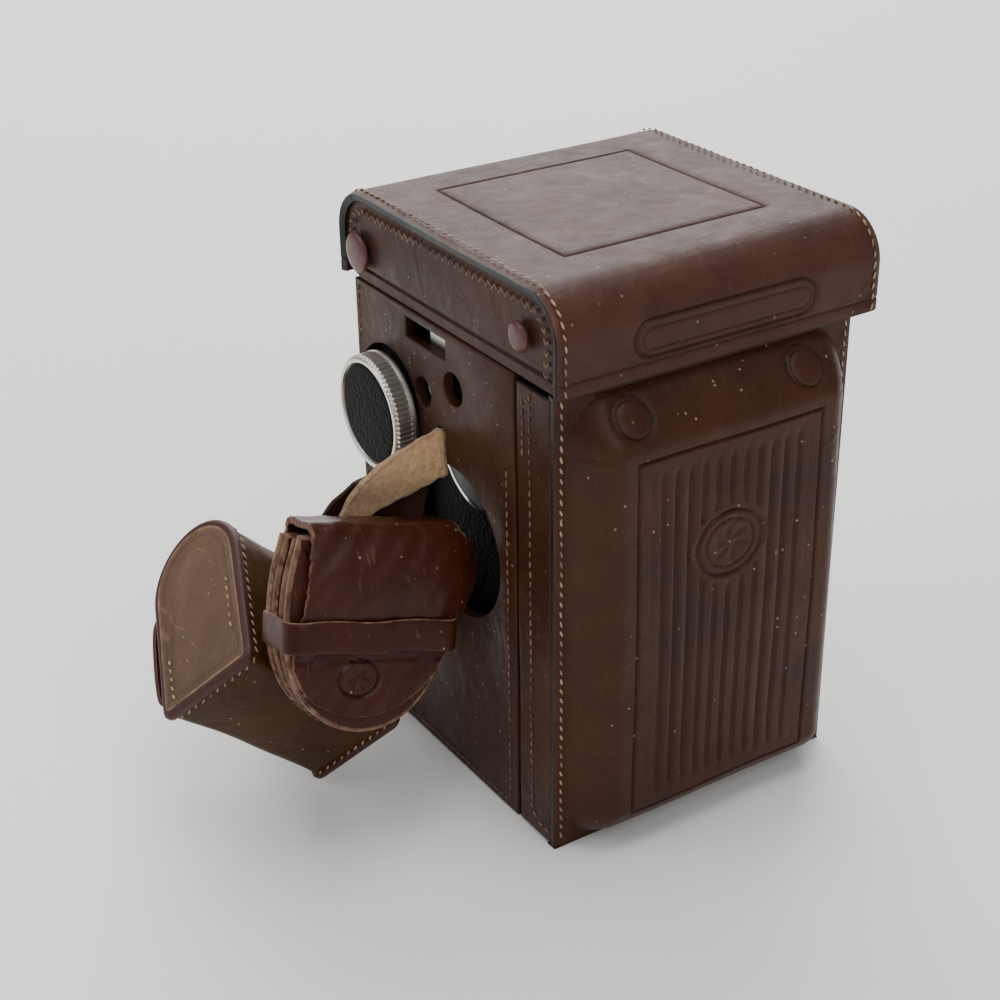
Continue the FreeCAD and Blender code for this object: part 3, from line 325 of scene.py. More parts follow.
def leatherette(name, colour):
    """Grained leatherette stuck on metal: black, half matt, with pebbles a millimetre across."""
    material, tree, place = start_material(name)
    pebble = add_node(tree, "ShaderNodeTexVoronoi", {"Scale": per_mm(1.15), "feature": "SMOOTH_F1",
                                                     "Smoothness": 0.5, "Randomness": 1.0}, Vector=place)
    crease = add_node(tree, "ShaderNodeTexNoise", {"Scale": per_mm(0.5), "Detail": 3.0}, Vector=place)
    # Lighter on the pebble tops and darker between them: painted highlight and painted shade of the grain.
    top = add_node(tree, "ShaderNodeMapRange", {"From Min": 0.5, "From Max": 0.15},
                   Value=pebble.outputs["Distance"])
    tone = add_node(tree, "ShaderNodeMix", {"data_type": "RGBA", 0: top.outputs["Result"],
                                            6: scaled(colour, 0.5), 7: scaled(colour, 1.5)}).outputs[2]
    first = add_node(tree, "ShaderNodeBump", {"Strength": 0.7, "Distance": 0.3 * MM, "invert": True},
                     Height=pebble.outputs["Distance"])
    second = add_node(tree, "ShaderNodeBump", {"Strength": 0.5, "Distance": 0.08 * MM},
                      Height=crease.outputs["Fac"], Normal=first.outputs["Normal"])
    shader = add_node(tree, "ShaderNodeBsdfPrincipled", {"Roughness": 0.5, "Specular IOR Level": 0.06},
                      Base_Color=tone, Normal=second.outputs["Normal"])
    end_material(tree, shader)
    return material


def metal(name, colour, roughness, brushed=0.0, stain="5a4a35", stained=0.35):
    """Plated brass: bright, with fine turning marks where it is satin, brown tarnish in patches, and painted
    shade in its hollows.
    """
    material, tree, place = start_material(name)
    patches = add_node(tree, "ShaderNodeTexNoise", {"Scale": per_mm(4), "Detail": 7.0, "Roughness": 0.7},
                       Vector=place)
    step = add_node(tree, "ShaderNodeValToRGB", {"stops": [(0.55, 0.0), (0.78, stained)]},
                    Fac=patches.outputs["Fac"])
    tone = add_node(tree, "ShaderNodeMix", {"data_type": "RGBA", 0: step.outputs["Color"], 6: colour,
                                            7: srgb(stain)}).outputs[2]
    # Negative shade, in the knurl grooves, darkens towards 5d5140: painted shade.
    shade = add_node(tree, "ShaderNodeAttribute", {"attribute_name": "shade"}).outputs["Fac"]
    shade_darkening = add_node(tree, "ShaderNodeMapRange", {"From Min": 0.0, "From Max": -1.0, "To Max": 0.75},
                      Value=shade)
    tone = add_node(tree, "ShaderNodeMix", {"data_type": "RGBA", 0: shade_darkening.outputs["Result"], 6: tone,
                                            7: srgb("5d5140")}).outputs[2]
    gloss = add_node(tree, "ShaderNodeMapRange", {"To Min": roughness * 0.75, "To Max": roughness * 1.4},
                     Value=patches.outputs["Fac"])
    lines = add_node(tree, "ShaderNodeTexNoise", {"Scale": per_mm(0.35), "Detail": 2.0}, Vector=place)
    bump = add_node(tree, "ShaderNodeBump", {"Strength": 0.5, "Distance": (0.004 + brushed) * MM},
                    Height=lines.outputs["Fac"])
    shader = add_node(tree, "ShaderNodeBsdfPrincipled", {"Metallic": 1.0}, Base_Color=tone,
                      Roughness=gloss.outputs["Result"], Normal=bump.outputs["Normal"])
    end_material(tree, shader)
    return material


def enamel(name, colour, roughness=0.16, chips=0.25):
    """Stoved enamel on metal: smooth and glossy, with small dull chips and a film of dust."""
    material, tree, place = start_material(name)
    wear = add_node(tree, "ShaderNodeTexNoise", {"Scale": per_mm(3.5), "Detail": 8.0, "Roughness": 0.7},
                    Vector=place)
    step = add_node(tree, "ShaderNodeValToRGB", {"stops": [(0.6, 0.0), (0.74, chips)]},
                    Fac=wear.outputs["Fac"])
    tone = add_node(tree, "ShaderNodeMix", {"data_type": "RGBA", 0: step.outputs["Color"], 6: colour,
                                            7: scaled(colour, 2.4)}).outputs[2]
    gloss = add_node(tree, "ShaderNodeMapRange", {"From Min": 0.35, "From Max": 0.7, "To Min": roughness,
                                                  "To Max": roughness + 0.2}, Value=wear.outputs["Fac"])
    ripple = add_node(tree, "ShaderNodeBump", {"Strength": 0.3, "Distance": 0.08 * MM},
                      Height=wear.outputs["Fac"])
    shader = add_node(tree, "ShaderNodeBsdfPrincipled",
                      {"IOR": 1.52, "Coat Weight": 0.15, "Coat Roughness": 0.25},
                      Base_Color=tone, Roughness=gloss.outputs["Result"], Normal=ripple.outputs["Normal"])
    end_material(tree, shader)
    return material


def optical_glass(name, colour):
    """Coated optical glass: clear, with the coating's faint tint and a little dust."""
    material, tree, place = start_material(name)
    dust = add_node(tree, "ShaderNodeTexNoise", {"Scale": per_mm(1.2), "Detail": 6.0}, Vector=place)
    film = add_node(tree, "ShaderNodeMapRange", {"From Min": 0.4, "From Max": 0.8, "To Min": 0.02,
                                                 "To Max": 0.14},
                    Value=dust.outputs["Fac"])
    tint = add_node(tree, "ShaderNodeMix", {"data_type": "RGBA", 0: dust.outputs["Fac"], 6: colour,
                                            7: scaled(colour, 0.8)}).outputs[2]
    shader = add_node(tree, "ShaderNodeBsdfPrincipled", {"IOR": 1.58, "Transmission Weight": 0.9},
                      Base_Color=tint, Roughness=film.outputs["Result"])
    end_material(tree, shader)
    return material


# ---- mesh helpers --------------------------------------------------------------------------------

def ticks(start, end, step, lines=(), width=1.0):
    """Even positions from start to end, with five more across each pressed line."""
    count = max(1, round((end - start) / step))
    found = [start + (end - start) * i / count for i in range(count + 1)]
    for line in lines:
        found = [p for p in found if abs(p - line) > width * 0.62 or p in (start, end)]
        found += [line + width * share for share in (-0.5, -0.25, 0.0, 0.25, 0.5)]
    return sorted(p for p in set(found) if start <= p <= end)


def line_press(distance, width):
    """How deep a pressed line is at a distance from its middle: 1 in the middle, 0 outside its width."""
    if abs(distance) >= width / 2:
        return 0.0
    return 0.5 + 0.5 * math.cos(2 * math.pi * distance / width)


def panel(us, vs, surface):
    """A sheet of quads; surface(u, v) gives each corner's place and its shade value, from -1 for painted
    shade in hollows to 1 for worn edges and painted highlights.
    """
    bm = bmesh.new()
    across, along = len(us) - 1, len(vs) - 1
    bmesh.ops.create_grid(bm, x_segments=across, y_segments=along, size=1.0)
    layer = bm.verts.layers.float.new("shade")
    for vert in bm.verts:
        u = us[round((vert.co.x + 1) / 2 * across)]
        v = vs[round((vert.co.y + 1) / 2 * along)]
        place, shade = surface(u, v)
        vert.co = place
        vert[layer] = shade
    return bm


def turn_outward(bm, middle):
    """Points a sheet's faces away from a point behind it."""
    bm.normal_update()
    total = sum(face.normal.dot(face.calc_center_median() - middle) * face.calc_area() for face in bm.faces)
    if total < 0:
        bmesh.ops.reverse_faces(bm, faces=bm.faces)


def new_piece(name, bm, body, materials, replaces=(), sheet_gauge=None, rim=0.5, smooth=40.0,
              painted=False, lined=False, same_rim=False):
    """Makes a bmesh in millimetres a finished piece in metres that rides on a body.

    A sheet gets its thickness and soft edges; painted edges take the second material, and so does a lining.
    """
    bmesh.ops.scale(bm, vec=(MM, MM, MM), verts=bm.verts)
    mesh = bpy.data.meshes.new(name)
    bm.to_mesh(mesh)
    bm.free()
    piece = bpy.data.objects.new(name, mesh)
    bpy.context.scene.collection.objects.link(piece)
    for material in materials:
        mesh.materials.append(MATERIALS[material])
    mesh.shade_smooth()
    mesh.set_sharp_from_angle(angle=math.radians(smooth))
    if sheet_gauge:
        thick = piece.modifiers.new("Thickness", "SOLIDIFY")
        thick.thickness = sheet_gauge * MM
        thick.offset = -1
        thick.use_quality_normals = True
        thick.material_offset_rim = 1 if len(materials) > 1 and not same_rim else 0
        thick.material_offset = 1 if lined else 0
        soft = piece.modifiers.new("Soft edge", "BEVEL")
        soft.width = rim * MM
        soft.segments = 3
        soft.limit_method = "ANGLE"
        soft.angle_limit = math.radians(50)
        soft.material = 1 if painted else -1
    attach(piece, body)
    if replaces:
        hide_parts(*replaces)
    return piece


def from_cad(name, node, body, materials, bevel=0.45):
    """A copy of a CAD node with its loose triangles merged and its sharp edges softened."""
    bm = bmesh.new()
    bm.from_mesh(frame["nodes"][node].data)
    bmesh.ops.remove_doubles(bm, verts=bm.verts, dist=0.002 * MM)
    bmesh.ops.dissolve_limit(bm, angle_limit=math.radians(1), verts=bm.verts, edges=bm.edges)
    sharp = [edge for edge in bm.edges if len(edge.link_faces) == 2
             and edge.calc_face_angle(0) > math.radians(35)]
    bmesh.ops.bevel(bm, geom=sharp, offset=bevel * MM, offset_type="OFFSET", segments=2, profile=0.5,
                    affect="EDGES", material=-1, clamp_overlap=True)
    bmesh.ops.triangulate(bm, faces=[face for face in bm.faces if len(face.verts) > 4])
    bmesh.ops.scale(bm, vec=(1 / MM, 1 / MM, 1 / MM), verts=bm.verts)
    return new_piece(name, bm, body, materials, [node], smooth=30)


def rounded_path(points, radii, step=1.2):
    """A polyline with arcs at its inner corners; gives (point, direction) pairs along it."""
    points = [Vector(p) for p in points]
    laid = [points[0]]
    for before, corner, after, radius in zip(points, points[1:], points[2:], radii):
        towards, away = (before - corner).normalized(), (after - corner).normalized()
        half = towards.angle(away) / 2
        if radius <= 0 or half > math.radians(89.5):
            laid.append(corner)
            continue
        reach = radius / math.tan(half)
        start, end = corner + towards * reach, corner + away * reach
        centre = corner + (towards + away).normalized() * (radius / math.sin(half))
        count = max(3, round(radius * (math.pi - 2 * half) / step))
        first, last = start - centre, end - centre
        swing = first.angle(last)
        for i in range(count + 1):
            share = i / count
            spoke = (first * math.sin((1 - share) * swing) + last * math.sin(share * swing)) / math.sin(swing)
            laid.append(centre + spoke)
    laid.append(points[-1])
    return laid


def walk(points, step, start=0.0, end=0.0):
    """Even steps along a polyline: (point, direction) pairs."""
    lengths = [(b - a).length for a, b in zip(points, points[1:])]
    total = sum(lengths) - start - end
    count = max(1, round(total / step))
    found = []
    for i in range(count):
        target = start + total * (i + 0.5) / count
        for a, b, length in zip(points, points[1:], lengths):
            if target <= length or b is points[-1]:
                found.append((a + (b - a) * (target / length if length else 0), (b - a).normalized()))
                break
            target -= length
    return found


def sew(bm, row, normal_of, settings, tilt=0.0, seed=1, sink=0.12, length_share=0.68):
    """Lays stitches along a row of points: short strands, a little uneven, half sunk in the leather."""
    chance = random.Random(seed)
    pitch = settings.stitch_pitch / MM
    thread = settings.thread / MM
    for place, run in walk(row, pitch):
        up = normal_of(place).normalized()
        side = up.cross(run).normalized()
        lean = tilt + chance.uniform(-0.12, 0.12)
        ahead = (run * math.cos(lean) + side * math.sin(lean)).normalized()
        side = up.cross(ahead).normalized()
        size = chance.uniform(0.9, 1.1)
        basis = Matrix((ahead * pitch * length_share / 2 * size, side * thread * 0.52 * size,
                        up * thread * 0.5))
        spot = place + up * (thread * 0.28 - sink * thread) + side * chance.uniform(-0.1, 0.1)
        made = bmesh.ops.create_icosphere(bm, subdivisions=2, radius=1.0)
        for vert in made["verts"]:
            vert.co = spot + basis.transposed() @ vert.co


def stitches(name, rows, body, settings, material):
    """One piece of thread for several rows, each given as (points, normal, tilt)."""
    bm = bmesh.new()
    for number, (row, normal, tilt) in enumerate(rows):
        normal_of = normal if callable(normal) else (lambda place, fixed=Vector(normal): fixed)
        sew(bm, row, normal_of, settings, tilt, seed=number + len(name))
    return new_piece(name, bm, body, [material], smooth=180)


def dome(centre, axis, radius, height, rows=7):
    """A low dome that is round at its rim, spun about its axis."""
    bm = bmesh.new()
    profile = [Vector((radius, 0, -0.4)), Vector((radius, 0, 0.0))]
    for i in range(1, rows + 1):
        angle = math.pi / 2 * i / rows
        profile.append(Vector((radius * math.cos(angle) ** 0.8 if i < rows else 0.0, 0,
                               height * math.sin(angle))))
    spin_profile(bm, profile, 48)
    bmesh.ops.transform(bm, matrix=axis_matrix(axis, centre), verts=bm.verts)
    return bm


def spin_profile(bm, profile, steps):
    """Spins a profile in the XZ plane right round Z, and closes its seam and poles."""
    verts = [bm.verts.new(point) for point in profile]
    edges = [bm.edges.new(pair) for pair in zip(verts, verts[1:])]
    bmesh.ops.spin(bm, geom=verts + edges, cent=(0, 0, 0), axis=(0, 0, 1), angle=2 * math.pi, steps=steps,
                   use_merge=True)
    bmesh.ops.remove_doubles(bm, verts=bm.verts, dist=0.0005)
    bmesh.ops.recalc_face_normals(bm, faces=bm.faces)


def axis_matrix(axis, centre):
    """Turns Z to an axis and moves the origin to a centre."""
    turn = Vector((0, 0, 1)).rotation_difference(Vector(axis)).to_matrix().to_4x4()
    return Matrix.Translation(Vector(centre)) @ turn


def joined(bms):
    """Several bmeshes as one."""
    whole = bmesh.new()
    for part in bms:
        mesh = bpy.data.meshes.new("part")
        part.to_mesh(mesh)
        part.free()
        whole.from_mesh(mesh)
        bpy.data.meshes.remove(mesh)
    return whole


MATERIALS = {}


def make_materials(scene):
    """Every material of the object, by its common name."""
    case, pouch, fitting = scene.tlr_case, scene.tlr_pouch, scene.tlr_fitting
    MATERIALS.update(
        case=leather("Dyed cowhide", case.front_colour, 0.4, coat=0.04, scratches=0.3),
        lid=leather("Faded cowhide", case.lid_colour, 0.5, coat=0.05, dust=0.3, scratches=0.15),
        pouch=leather("Polished cowhide", pouch.pouch_colour, 0.33, coat=0.12, scratches=0.14,
                      wear_and_highlight=srgb("9c785e")),
        # The caps' leather: lighter and greyer, partly a painted reflection.
        hood_case=leather("Cap cowhide with painted reflection", pouch.hood_case_colour, 0.42, coat=0.08, scratches=0.3,
                          wear_and_highlight=srgb("a3866c")),
        hood_wrap=leather("Smooth cowhide", srgb("3c2410"), 0.4, coat=0.0, scratches=0.3),
        edge=edge_paint("Edge paint", case.edge_colour),
        red_edge=edge_paint("Raw red edge", srgb("3a1a15")),
        pale_edge=edge_paint("Worn raw edge", srgb("5f3d2b")),
        thread=linen_thread("Waxed linen thread", case.thread_colour),
        # A darker thread for the rows on the sides, walls and pouch.
        dim_thread=linen_thread("Darker linen thread", srgb("6e4f3c")),
        suede=suede("Suede", pouch.suede_colour),
        leatherette=leatherette("Black leatherette", srgb("040405")),
        nickel=metal("Satin nickel", fitting.nickel_colour, 0.3, brushed=0.01, stained=0.2),
        chrome=metal("Bright chrome", srgb("d8d8d6"), 0.1, stained=0.15),
        black=enamel("Black crackle enamel", srgb("17171a"), 0.32, chips=0.1),
        stud=enamel("Red brown enamel", fitting.enamel_colour, 0.36),
        spool=enamel("Black lacquer", srgb("1c1c1f"), 0.25),
        ivory=enamel("Ivory celluloid", srgb("ded6bd"), 0.3, chips=0.05),
        glass=optical_glass("Coated glass", srgb("dfe6ea")),
        mirror=metal("Front silvered glass", srgb("e6e8ea"), 0.03, stained=0.05),
    )


# ---- lid -----------------------------------------------------------------------------------------

def lid_outline(inset=0.0, low=None):
    """The lid's side outline, front bottom to rear bottom, as rounded path points in the YZ plane."""
    lo, hi = corners("lid_shell")
    bend = 12.0
    front, back, top = lo.y + inset, hi.y - inset, hi.z - inset
    bottom = lo.z if low is None else low
    corner_points = [(0, front, bottom), (0, front, top), (0, back, top), (0, back, bottom)]
    return rounded_path(corner_points, [bend - inset, bend - inset])


def resample(points, positions):
    """Points at given distances along a polyline, with the outward normal in the YZ plane."""
    found = []
    lengths = [(b - a).length for a, b in zip(points, points[1:])]
    for target in positions:
        left = max(0.0, target)
        for number, length in enumerate(lengths):
            if left <= length or number == len(lengths) - 1:
                run = (points[number + 1] - points[number]).normalized()
                found.append((points[number] + run * left, Vector((0, -run.z, run.y))))
                break
            left -= length
    return found


class TLR_OT_lid(bpy.types.Operator):
    """Leather lid: a bent top sheet with painted edges, two sewn side panels, and pressed lines"""
    bl_idname = "tlr.lid"
    bl_label = "Lid"

    def execute(self, context):
        case = context.scene.tlr_case
        self.shell(case)
        self.sides()
        self.sewing(case)
        self.studs()
        return {"FINISHED"}

    def shell(self, case):
        """The top sheet runs from the front skirt over both bends to the rear skirt."""
        left, right = corners("lid_left_side")[0].x, corners("lid_right_side")[1].x
        path = lid_outline()
        total = sum((b - a).length for a, b in zip(path, path[1:]))
        front_bend = 11.8
        plate_x = (-27.2, 32.0)
        plate_v = (front_bend + 18.85 + 10.5, front_bend + 18.85 + 66.8)
        crest_x, crest_v = (-19.0, 25.0), (4.6, 13.6)
        crease_v = (3.2, total - 3.2)
        us = ticks(left, right, 3.0, (*plate_x, *crest_x, left + 1.6, right - 1.6), 1.3)
        us = sorted(set(us + [left + 0.5, left + 1.0, right - 1.0, right - 0.5] + ticks(-24, -19, 0.5)
                        + ticks(25, 30, 0.5)))
        vs = ticks(0, total, 2.6, (*plate_v, *crest_v, *crease_v), 1.3)
        vs = sorted(set(vs + ticks(front_bend, front_bend + 18.85, 1.0) + ticks(total - 30.6,
                                                                                total - 11.8, 1.2)
                        + ticks(4, 14.4, 0.5)))
        spine = dict(zip(vs, resample(path, vs)))
        depth = case.emboss / MM

        def surface(u, v):
            place, normal = spine[v]
            x_in = min(u - plate_x[0], plate_x[1] - u)
            v_in = min(v - plate_v[0], plate_v[1] - v)
            frame_line = line_press(min(x_in, v_in), 1.2)
            half_x, half_v = (crest_x[1] - crest_x[0]) / 2, (crest_v[1] - crest_v[0]) / 2
            crest = capsule_distance(u - sum(crest_x) / 2, v - sum(crest_v) / 2, half_x + 4.5, half_v)
            crest_line = line_press(crest, 1.3) + 0.6 * line_press(crest + 1.9, 0.9)
            crease = max(line_press(v - line, 1.2) for line in crease_v)
            raised = 0.35 if crest < -0.6 else 0.0
            sag = 0.25 * math.sin(u / 19.0) * math.sin(v
                                                       / 23.0) - 0.5 * math.exp(-((v - total / 2) / 30) ** 2)
            edge = max(0.0, 1 - min(u - left, right - u) / 2.2)
            press = depth * (frame_line * 0.9 + crest_line * 0.8 + crease * 0.55)
            offset = raised + sag * 0.6 - press - 0.5 * edge ** 2
            # Edges worn paler; the band across the front bend is a painted highlight; pressed lines and
            # crests get painted shade.
            wear_and_highlight = 0.75 * edge + 0.3 * line_press(v - front_bend - 7, 14)
            shade = wear_and_highlight - min(1.0, frame_line * 0.8 + crest_line * 0.7 + crease * 0.5)
            return Vector((u, 0, 0)) + place + normal * offset, shade

        bm = panel(us, vs, surface)
        for face in bm.faces:
            middle = face.calc_center_median().x
            face.material_index = 1 if min(middle - left, right - middle) < 0.45 else 0
        turn_outward(bm, Vector((0, 0, 120)))
        new_piece("Lid_top_sheet", bm, "lid", ["lid", "edge"],
                  ["lid_shell"], sheet_gauge=2.0, rim=0.9, painted=True)

    def sides(self):
        """Each side panel fills the outline under the top sheet, with a trimmed rear corner."""
        lo, hi = corners("lid_left_side")
        gauge = 1.9
        for node, face, sign in (("lid_left_side", lo.x + 1.3, -1),
                                 ("lid_right_side", corners("lid_right_side")[1].x - 1.3, 1)):
            crease = lo.z + 3.3
            us = ticks(0.0, 1.0, 0.022)
            vs = ticks(0.0, 1.0, 0.05, (3.3 / (hi.z - lo.z),), 0.06)

            def surface(u, v, face=face, sign=sign):
                y = lo.y + gauge + (hi.y - lo.y - gauge * 2) * u
                top = side_height(y, lo, hi, gauge)
                low = lo.z + max(0.0, (y - (hi.y - 7.5)) / 6) * 2.2
                z = low + (top - low) * v
                press = line_press(z - crease, 1.3) if y < hi.y - 5 else 0.0
                belly = 0.5 * math.sin(math.pi * u) * math.sin(math.pi * min(1, v * 1.2))
                edge = max(0.0, 1 - (z - low) / 1.6)
                # Paler along the worn bottom edge; painted shade in the pressed crease.
                return Vector((face + sign * (belly - 0.5 * press - 0.2), y, z)), 0.6 * edge - 0.6 * press

            bm = panel(us, vs, surface)
            turn_outward(bm, Vector((0, 0, 138)))
            new_piece(node.replace("_", " ").capitalize().replace(" ", "_"), bm, "lid",
                      ["case", "edge"], [node], sheet_gauge=2.2, rim=0.6)

    def sewing(self, case):
        """A row of thread near each edge of the top sheet, and a slanted row round each side panel."""
        left, right = corners("lid_left_side")[0].x, corners("lid_right_side")[1].x
        path = lid_outline()
        pale, dim = [], []
        for x, tilt in ((left + 2.3, 0.25), (right - 2.3, -0.25)):
            row = [point + Vector((x, 0, 0)) + flat_normal(point, path) * 0.22 for point in path]
            pale.append((row, lambda place: flat_normal(place, path), tilt))
        inner = lid_outline(5.6, low=129.0)
        outer = lid_outline(4.9, low=129.0)
        for x, out in ((left + 0.95, -1), (right - 0.95, 1)):
            for line, tilt in ((inner, 0.75), (outer, -0.75)):
                dim.append(([point + Vector((x, 0, 0)) for point in line], (out, 0, 0), tilt))
        stitches("Lid_stitches", pale, "lid", case, "thread")
        stitches("Lid_side_stitches", dim, "lid", case, "dim_thread")

    def studs(self):
        for label, node, height in (("Lid_rivets", "lid_rivets", 1.15),
                                    ("Lid_press_studs", "lid_press_studs", 1.05)):
            lo, hi = corners(node)
            radius = (hi.z - lo.z) / 2
            centre_y, centre_z = (lo.y + hi.y) / 2, (lo.z + hi.z) / 2
            pair = [dome((x - sign * height, centre_y, centre_z), (sign, 0, 0), radius, height)
                    for x, sign in ((lo.x, -1), (hi.x, 1))]
            new_piece(label, joined(pair), "lid", ["stud"], [node])


def capsule_distance(x, y, half_length, radius):
    """Distance from the outline of a capsule that lies along x; negative inside."""
    reach = max(0.0, half_length - radius)
    beyond = max(0.0, abs(x) - reach)
    return math.hypot(beyond, y) - radius


def side_height(y, lo, hi, gauge):
    """Top of a lid side panel at a place along it, under the bent top sheet."""
    radius = 12.0 - gauge
    from_end = min(y - (lo.y + gauge), (hi.y - gauge) - y)
    top = hi.z - gauge
    if from_end >= radius:
        return top
    return top - radius + math.sqrt(max(0.0, radius ** 2 - (radius - from_end) ** 2))


def flat_normal(place, path):
    """Outward normal of the lid's outline nearest to a place."""
    best = min(range(len(path) - 1), key=lambda i: ((path[i] + path[i + 1]) / 2 - Vector((0, place.y,
                                                                                          place.z))).length)
    run = (path[best + 1] - path[best]).normalized()
    return Vector((0, -run.z, run.y))


# ---- front cover ---------------------------------------------------------------------------------

# The covered studs stand near the top of the front's nose.
STUD_X = (-26.6, 24.4)
STUD_Z = 118.8


class TLR_OT_front_cover(bpy.types.Operator):
    """Moulded front: a nose with pressed ribs, side flanges, and sewing down both edges"""
    bl_idname = "tlr.front_cover"
    bl_label = "Front cover"

    def execute(self, context):
        case = context.scene.tlr_case
        self.nose(case)
        self.flanges()
        self.sewing(case)
        self.studs()
        return {"FINISHED"}

    def nose(self, case):
        lo, hi = corners("front_cover")
        panel_y = -46.0
        depth = panel_y - lo.y
        rib_pitch = 4.05
        rib_x = [rib_pitch * (number - (case.ribs - 1) / 2) for number in range(case.ribs)]
        border_x, border_z = (-27.4, 27.2), (11.0, 108.8)
        crest_z, crest_half = 80.5, (9.6, 8.6)
        us = ticks(lo.x, hi.x, 2.2, (*rib_x, *border_x), 2.0)
        us = sorted(set(us + ticks(-41.2, -19.0, 0.8) + ticks(19.0, 41.2, 0.8) + ticks(-9.6, 9.6, 0.5)))
        vs = ticks(lo.z, hi.z, 2.4, border_z, 1.4)
        vs = sorted(set(vs + ticks(1, 12, 0.8) + ticks(108.5, 125, 0.7) + ticks(70.5, 90.5, 0.5)
                        + ticks(12.6, 17, 0.7) + ticks(103, 108, 0.7)))
        press = case.emboss / MM

        def surface(u, v):
            rise = nose_rise(u, v)
            y = panel_y - depth * rise
            inside = min(u - border_x[0], border_x[1] - u, v - border_z[0], border_z[1] - v)
            border = line_press(inside, 1.3)
            rib = 0.0
            if inside > 3.0:
                rib = max(line_press(u - x, 2.3) for x in rib_x) * min(1.0, (inside - 3.0) / 2.5)
            shield = math.hypot(u / crest_half[0], (v - crest_z) / crest_half[1])
            if shield < 1.25:
                rib = 0.0
            ring = line_press((shield - 1) * 8.5, 1.5) + line_press((shield - 0.74) * 8.5, 1.0) * 0.7
            petals = 0.0
            if shield < 0.62:
                angle = math.atan2((v - crest_z) / crest_half[1], u / crest_half[0])
                petals = 0.55 * (0.5 + 0.5 * math.cos(angle * 6 + shield * 4)) * math.sin(math.pi
                                                                                          * shield / 0.62)
            seat = min(math.hypot(u - x, (v - STUD_Z) / 0.75) for x in STUD_X)
            stud_ring = line_press(seat - 5.3, 1.8)
            sunk = press * (border * 0.9 + rib * 0.85 + ring * 0.9 + petals + stud_ring)
            ripple = 0.18 * math.sin(u / 9.0 + v / 31.0) + 0.14 * math.sin(v / 13.0)
            # A painted highlight, with some wear, along the nose's shoulder; painted shade in the border,
            # ribs, rings, mark and stud rings.
            shoulder_highlight_and_wear = max(0.0, 1 - abs(rise - 0.86) / 0.14) if rise < 0.995 else 0.0
            edge = max(0.0, 1 - min(u - lo.x, hi.x - u) / 1.6)
            shade = 0.2 * shoulder_highlight_and_wear + 0.6 * edge - min(1.0, border * 0.8 + rib * 0.5 + ring * 0.8 + petals * 0.5
                                                   + stud_ring * 0.8)
            tuck = 0.5 * edge ** 2
            return Vector((u, min(y + sunk + tuck + ripple * (0.3 + rise), -45.6), v)), shade

        bm = panel(us, vs, surface)
        turn_outward(bm, Vector((0, 0, 62)))
        new_piece("Front_cover_sheet", bm, "front_cover", ["case", "edge"],
                  ["front_cover"], sheet_gauge=case.gauge / MM, rim=0.9, painted=True)

    def flanges(self):
        """The side flanges lie flush with the case walls."""
        lo, hi = corners("front_cover")
        for name, face, sign in (("Front_flange_left", lo.x + 0.15, -1),
                                 ("Front_flange_right", hi.x - 0.15, 1)):
            us = ticks(-44.2, hi.y, 0.9)
            vs = ticks(lo.z, hi.z - 1.1, 2.5)

            def surface(u, v, face=face, sign=sign):
                edge = max(0.0, 1 - (hi.y - u) / 1.3)
                wave = 0.12 * math.sin(v / 8.0) * edge
                return Vector((face - sign * (0.3 * edge ** 2 - wave), u, v)), 0.7 * edge

            bm = panel(us, vs, surface)
            turn_outward(bm, Vector((0, -38, 62)))
            new_piece(name, bm, "front_cover", ["case", "edge"],
                      sheet_gauge=2.3, rim=0.5)

    def sewing(self, case):
        lo, hi = corners("front_cover")
        rows = []
        for x in (lo.x + 1.9, hi.x - 1.9):
            rows.append(([Vector((x, -45.95, lo.z + 2)), Vector((x, -45.95, hi.z - 0.5))], (0, -1, 0), 0.3))
        for x, sign in ((lo.x + 0.1, -1), (hi.x - 0.1, 1)):
            rows.append(([Vector((x, -35.8, lo.z + 6)), Vector((x, -35.8, hi.z - 2))], (sign, 0, 0), 0.0))
            rows.append(([Vector((x, -35.8, lo.z + 6)), Vector((x, -39.5, lo.z + 3.5)),
                          Vector((x, -44.0, lo.z + 3.5))], (sign, 0, 0), 0.0))
            rows.append(([Vector((x, -32.8, 106)), Vector((x, -32.8, 121)), Vector((x, -35.8, 121))],
                         (sign, 0, 0), 0.0))
        stitches("Front_stitches", rows[:2], "front_cover", case, "thread")
        stitches("Flange_stitches", rows[2:], "front_cover", case, "dim_thread")

    def studs(self):
        """The covered studs stand on the slope at the top of the nose."""
        slope = Vector((0, -0.742, 0.67)).normalized()
        pair = []
        for x in STUD_X:
            z = STUD_Z
            y = -46.0 - 10.5 * nose_rise(x, z)
            pair.append(dome(Vector((x, y, z)) - slope * 0.25, slope, 4.6, 0.9))
        new_piece("Cover_studs", joined(pair), "front_cover", ["case"], ["cover_studs"])


def nose_rise(x, z):
    """How far the front's nose stands out at a place, from 0 on the panel to 1 on its flat front."""
    sides = min(1.0, max(0.0, (40.8 - abs(x)) / 9.8))
    low = min(1.0, max(0.0, (z - 1.4) / 11.0))
    high = min(1.0, max(0.0, (124.4 - z) / 13.4))
    near = math.hypot(1 - sides, 1 - low) if low < 1 else math.hypot(1 - sides, 1 - high)
    return 1 - min(1.0, near) ** (1.9 if high == 1 else 1.65)


# ---- case walls ----------------------------------------------------------------------------------

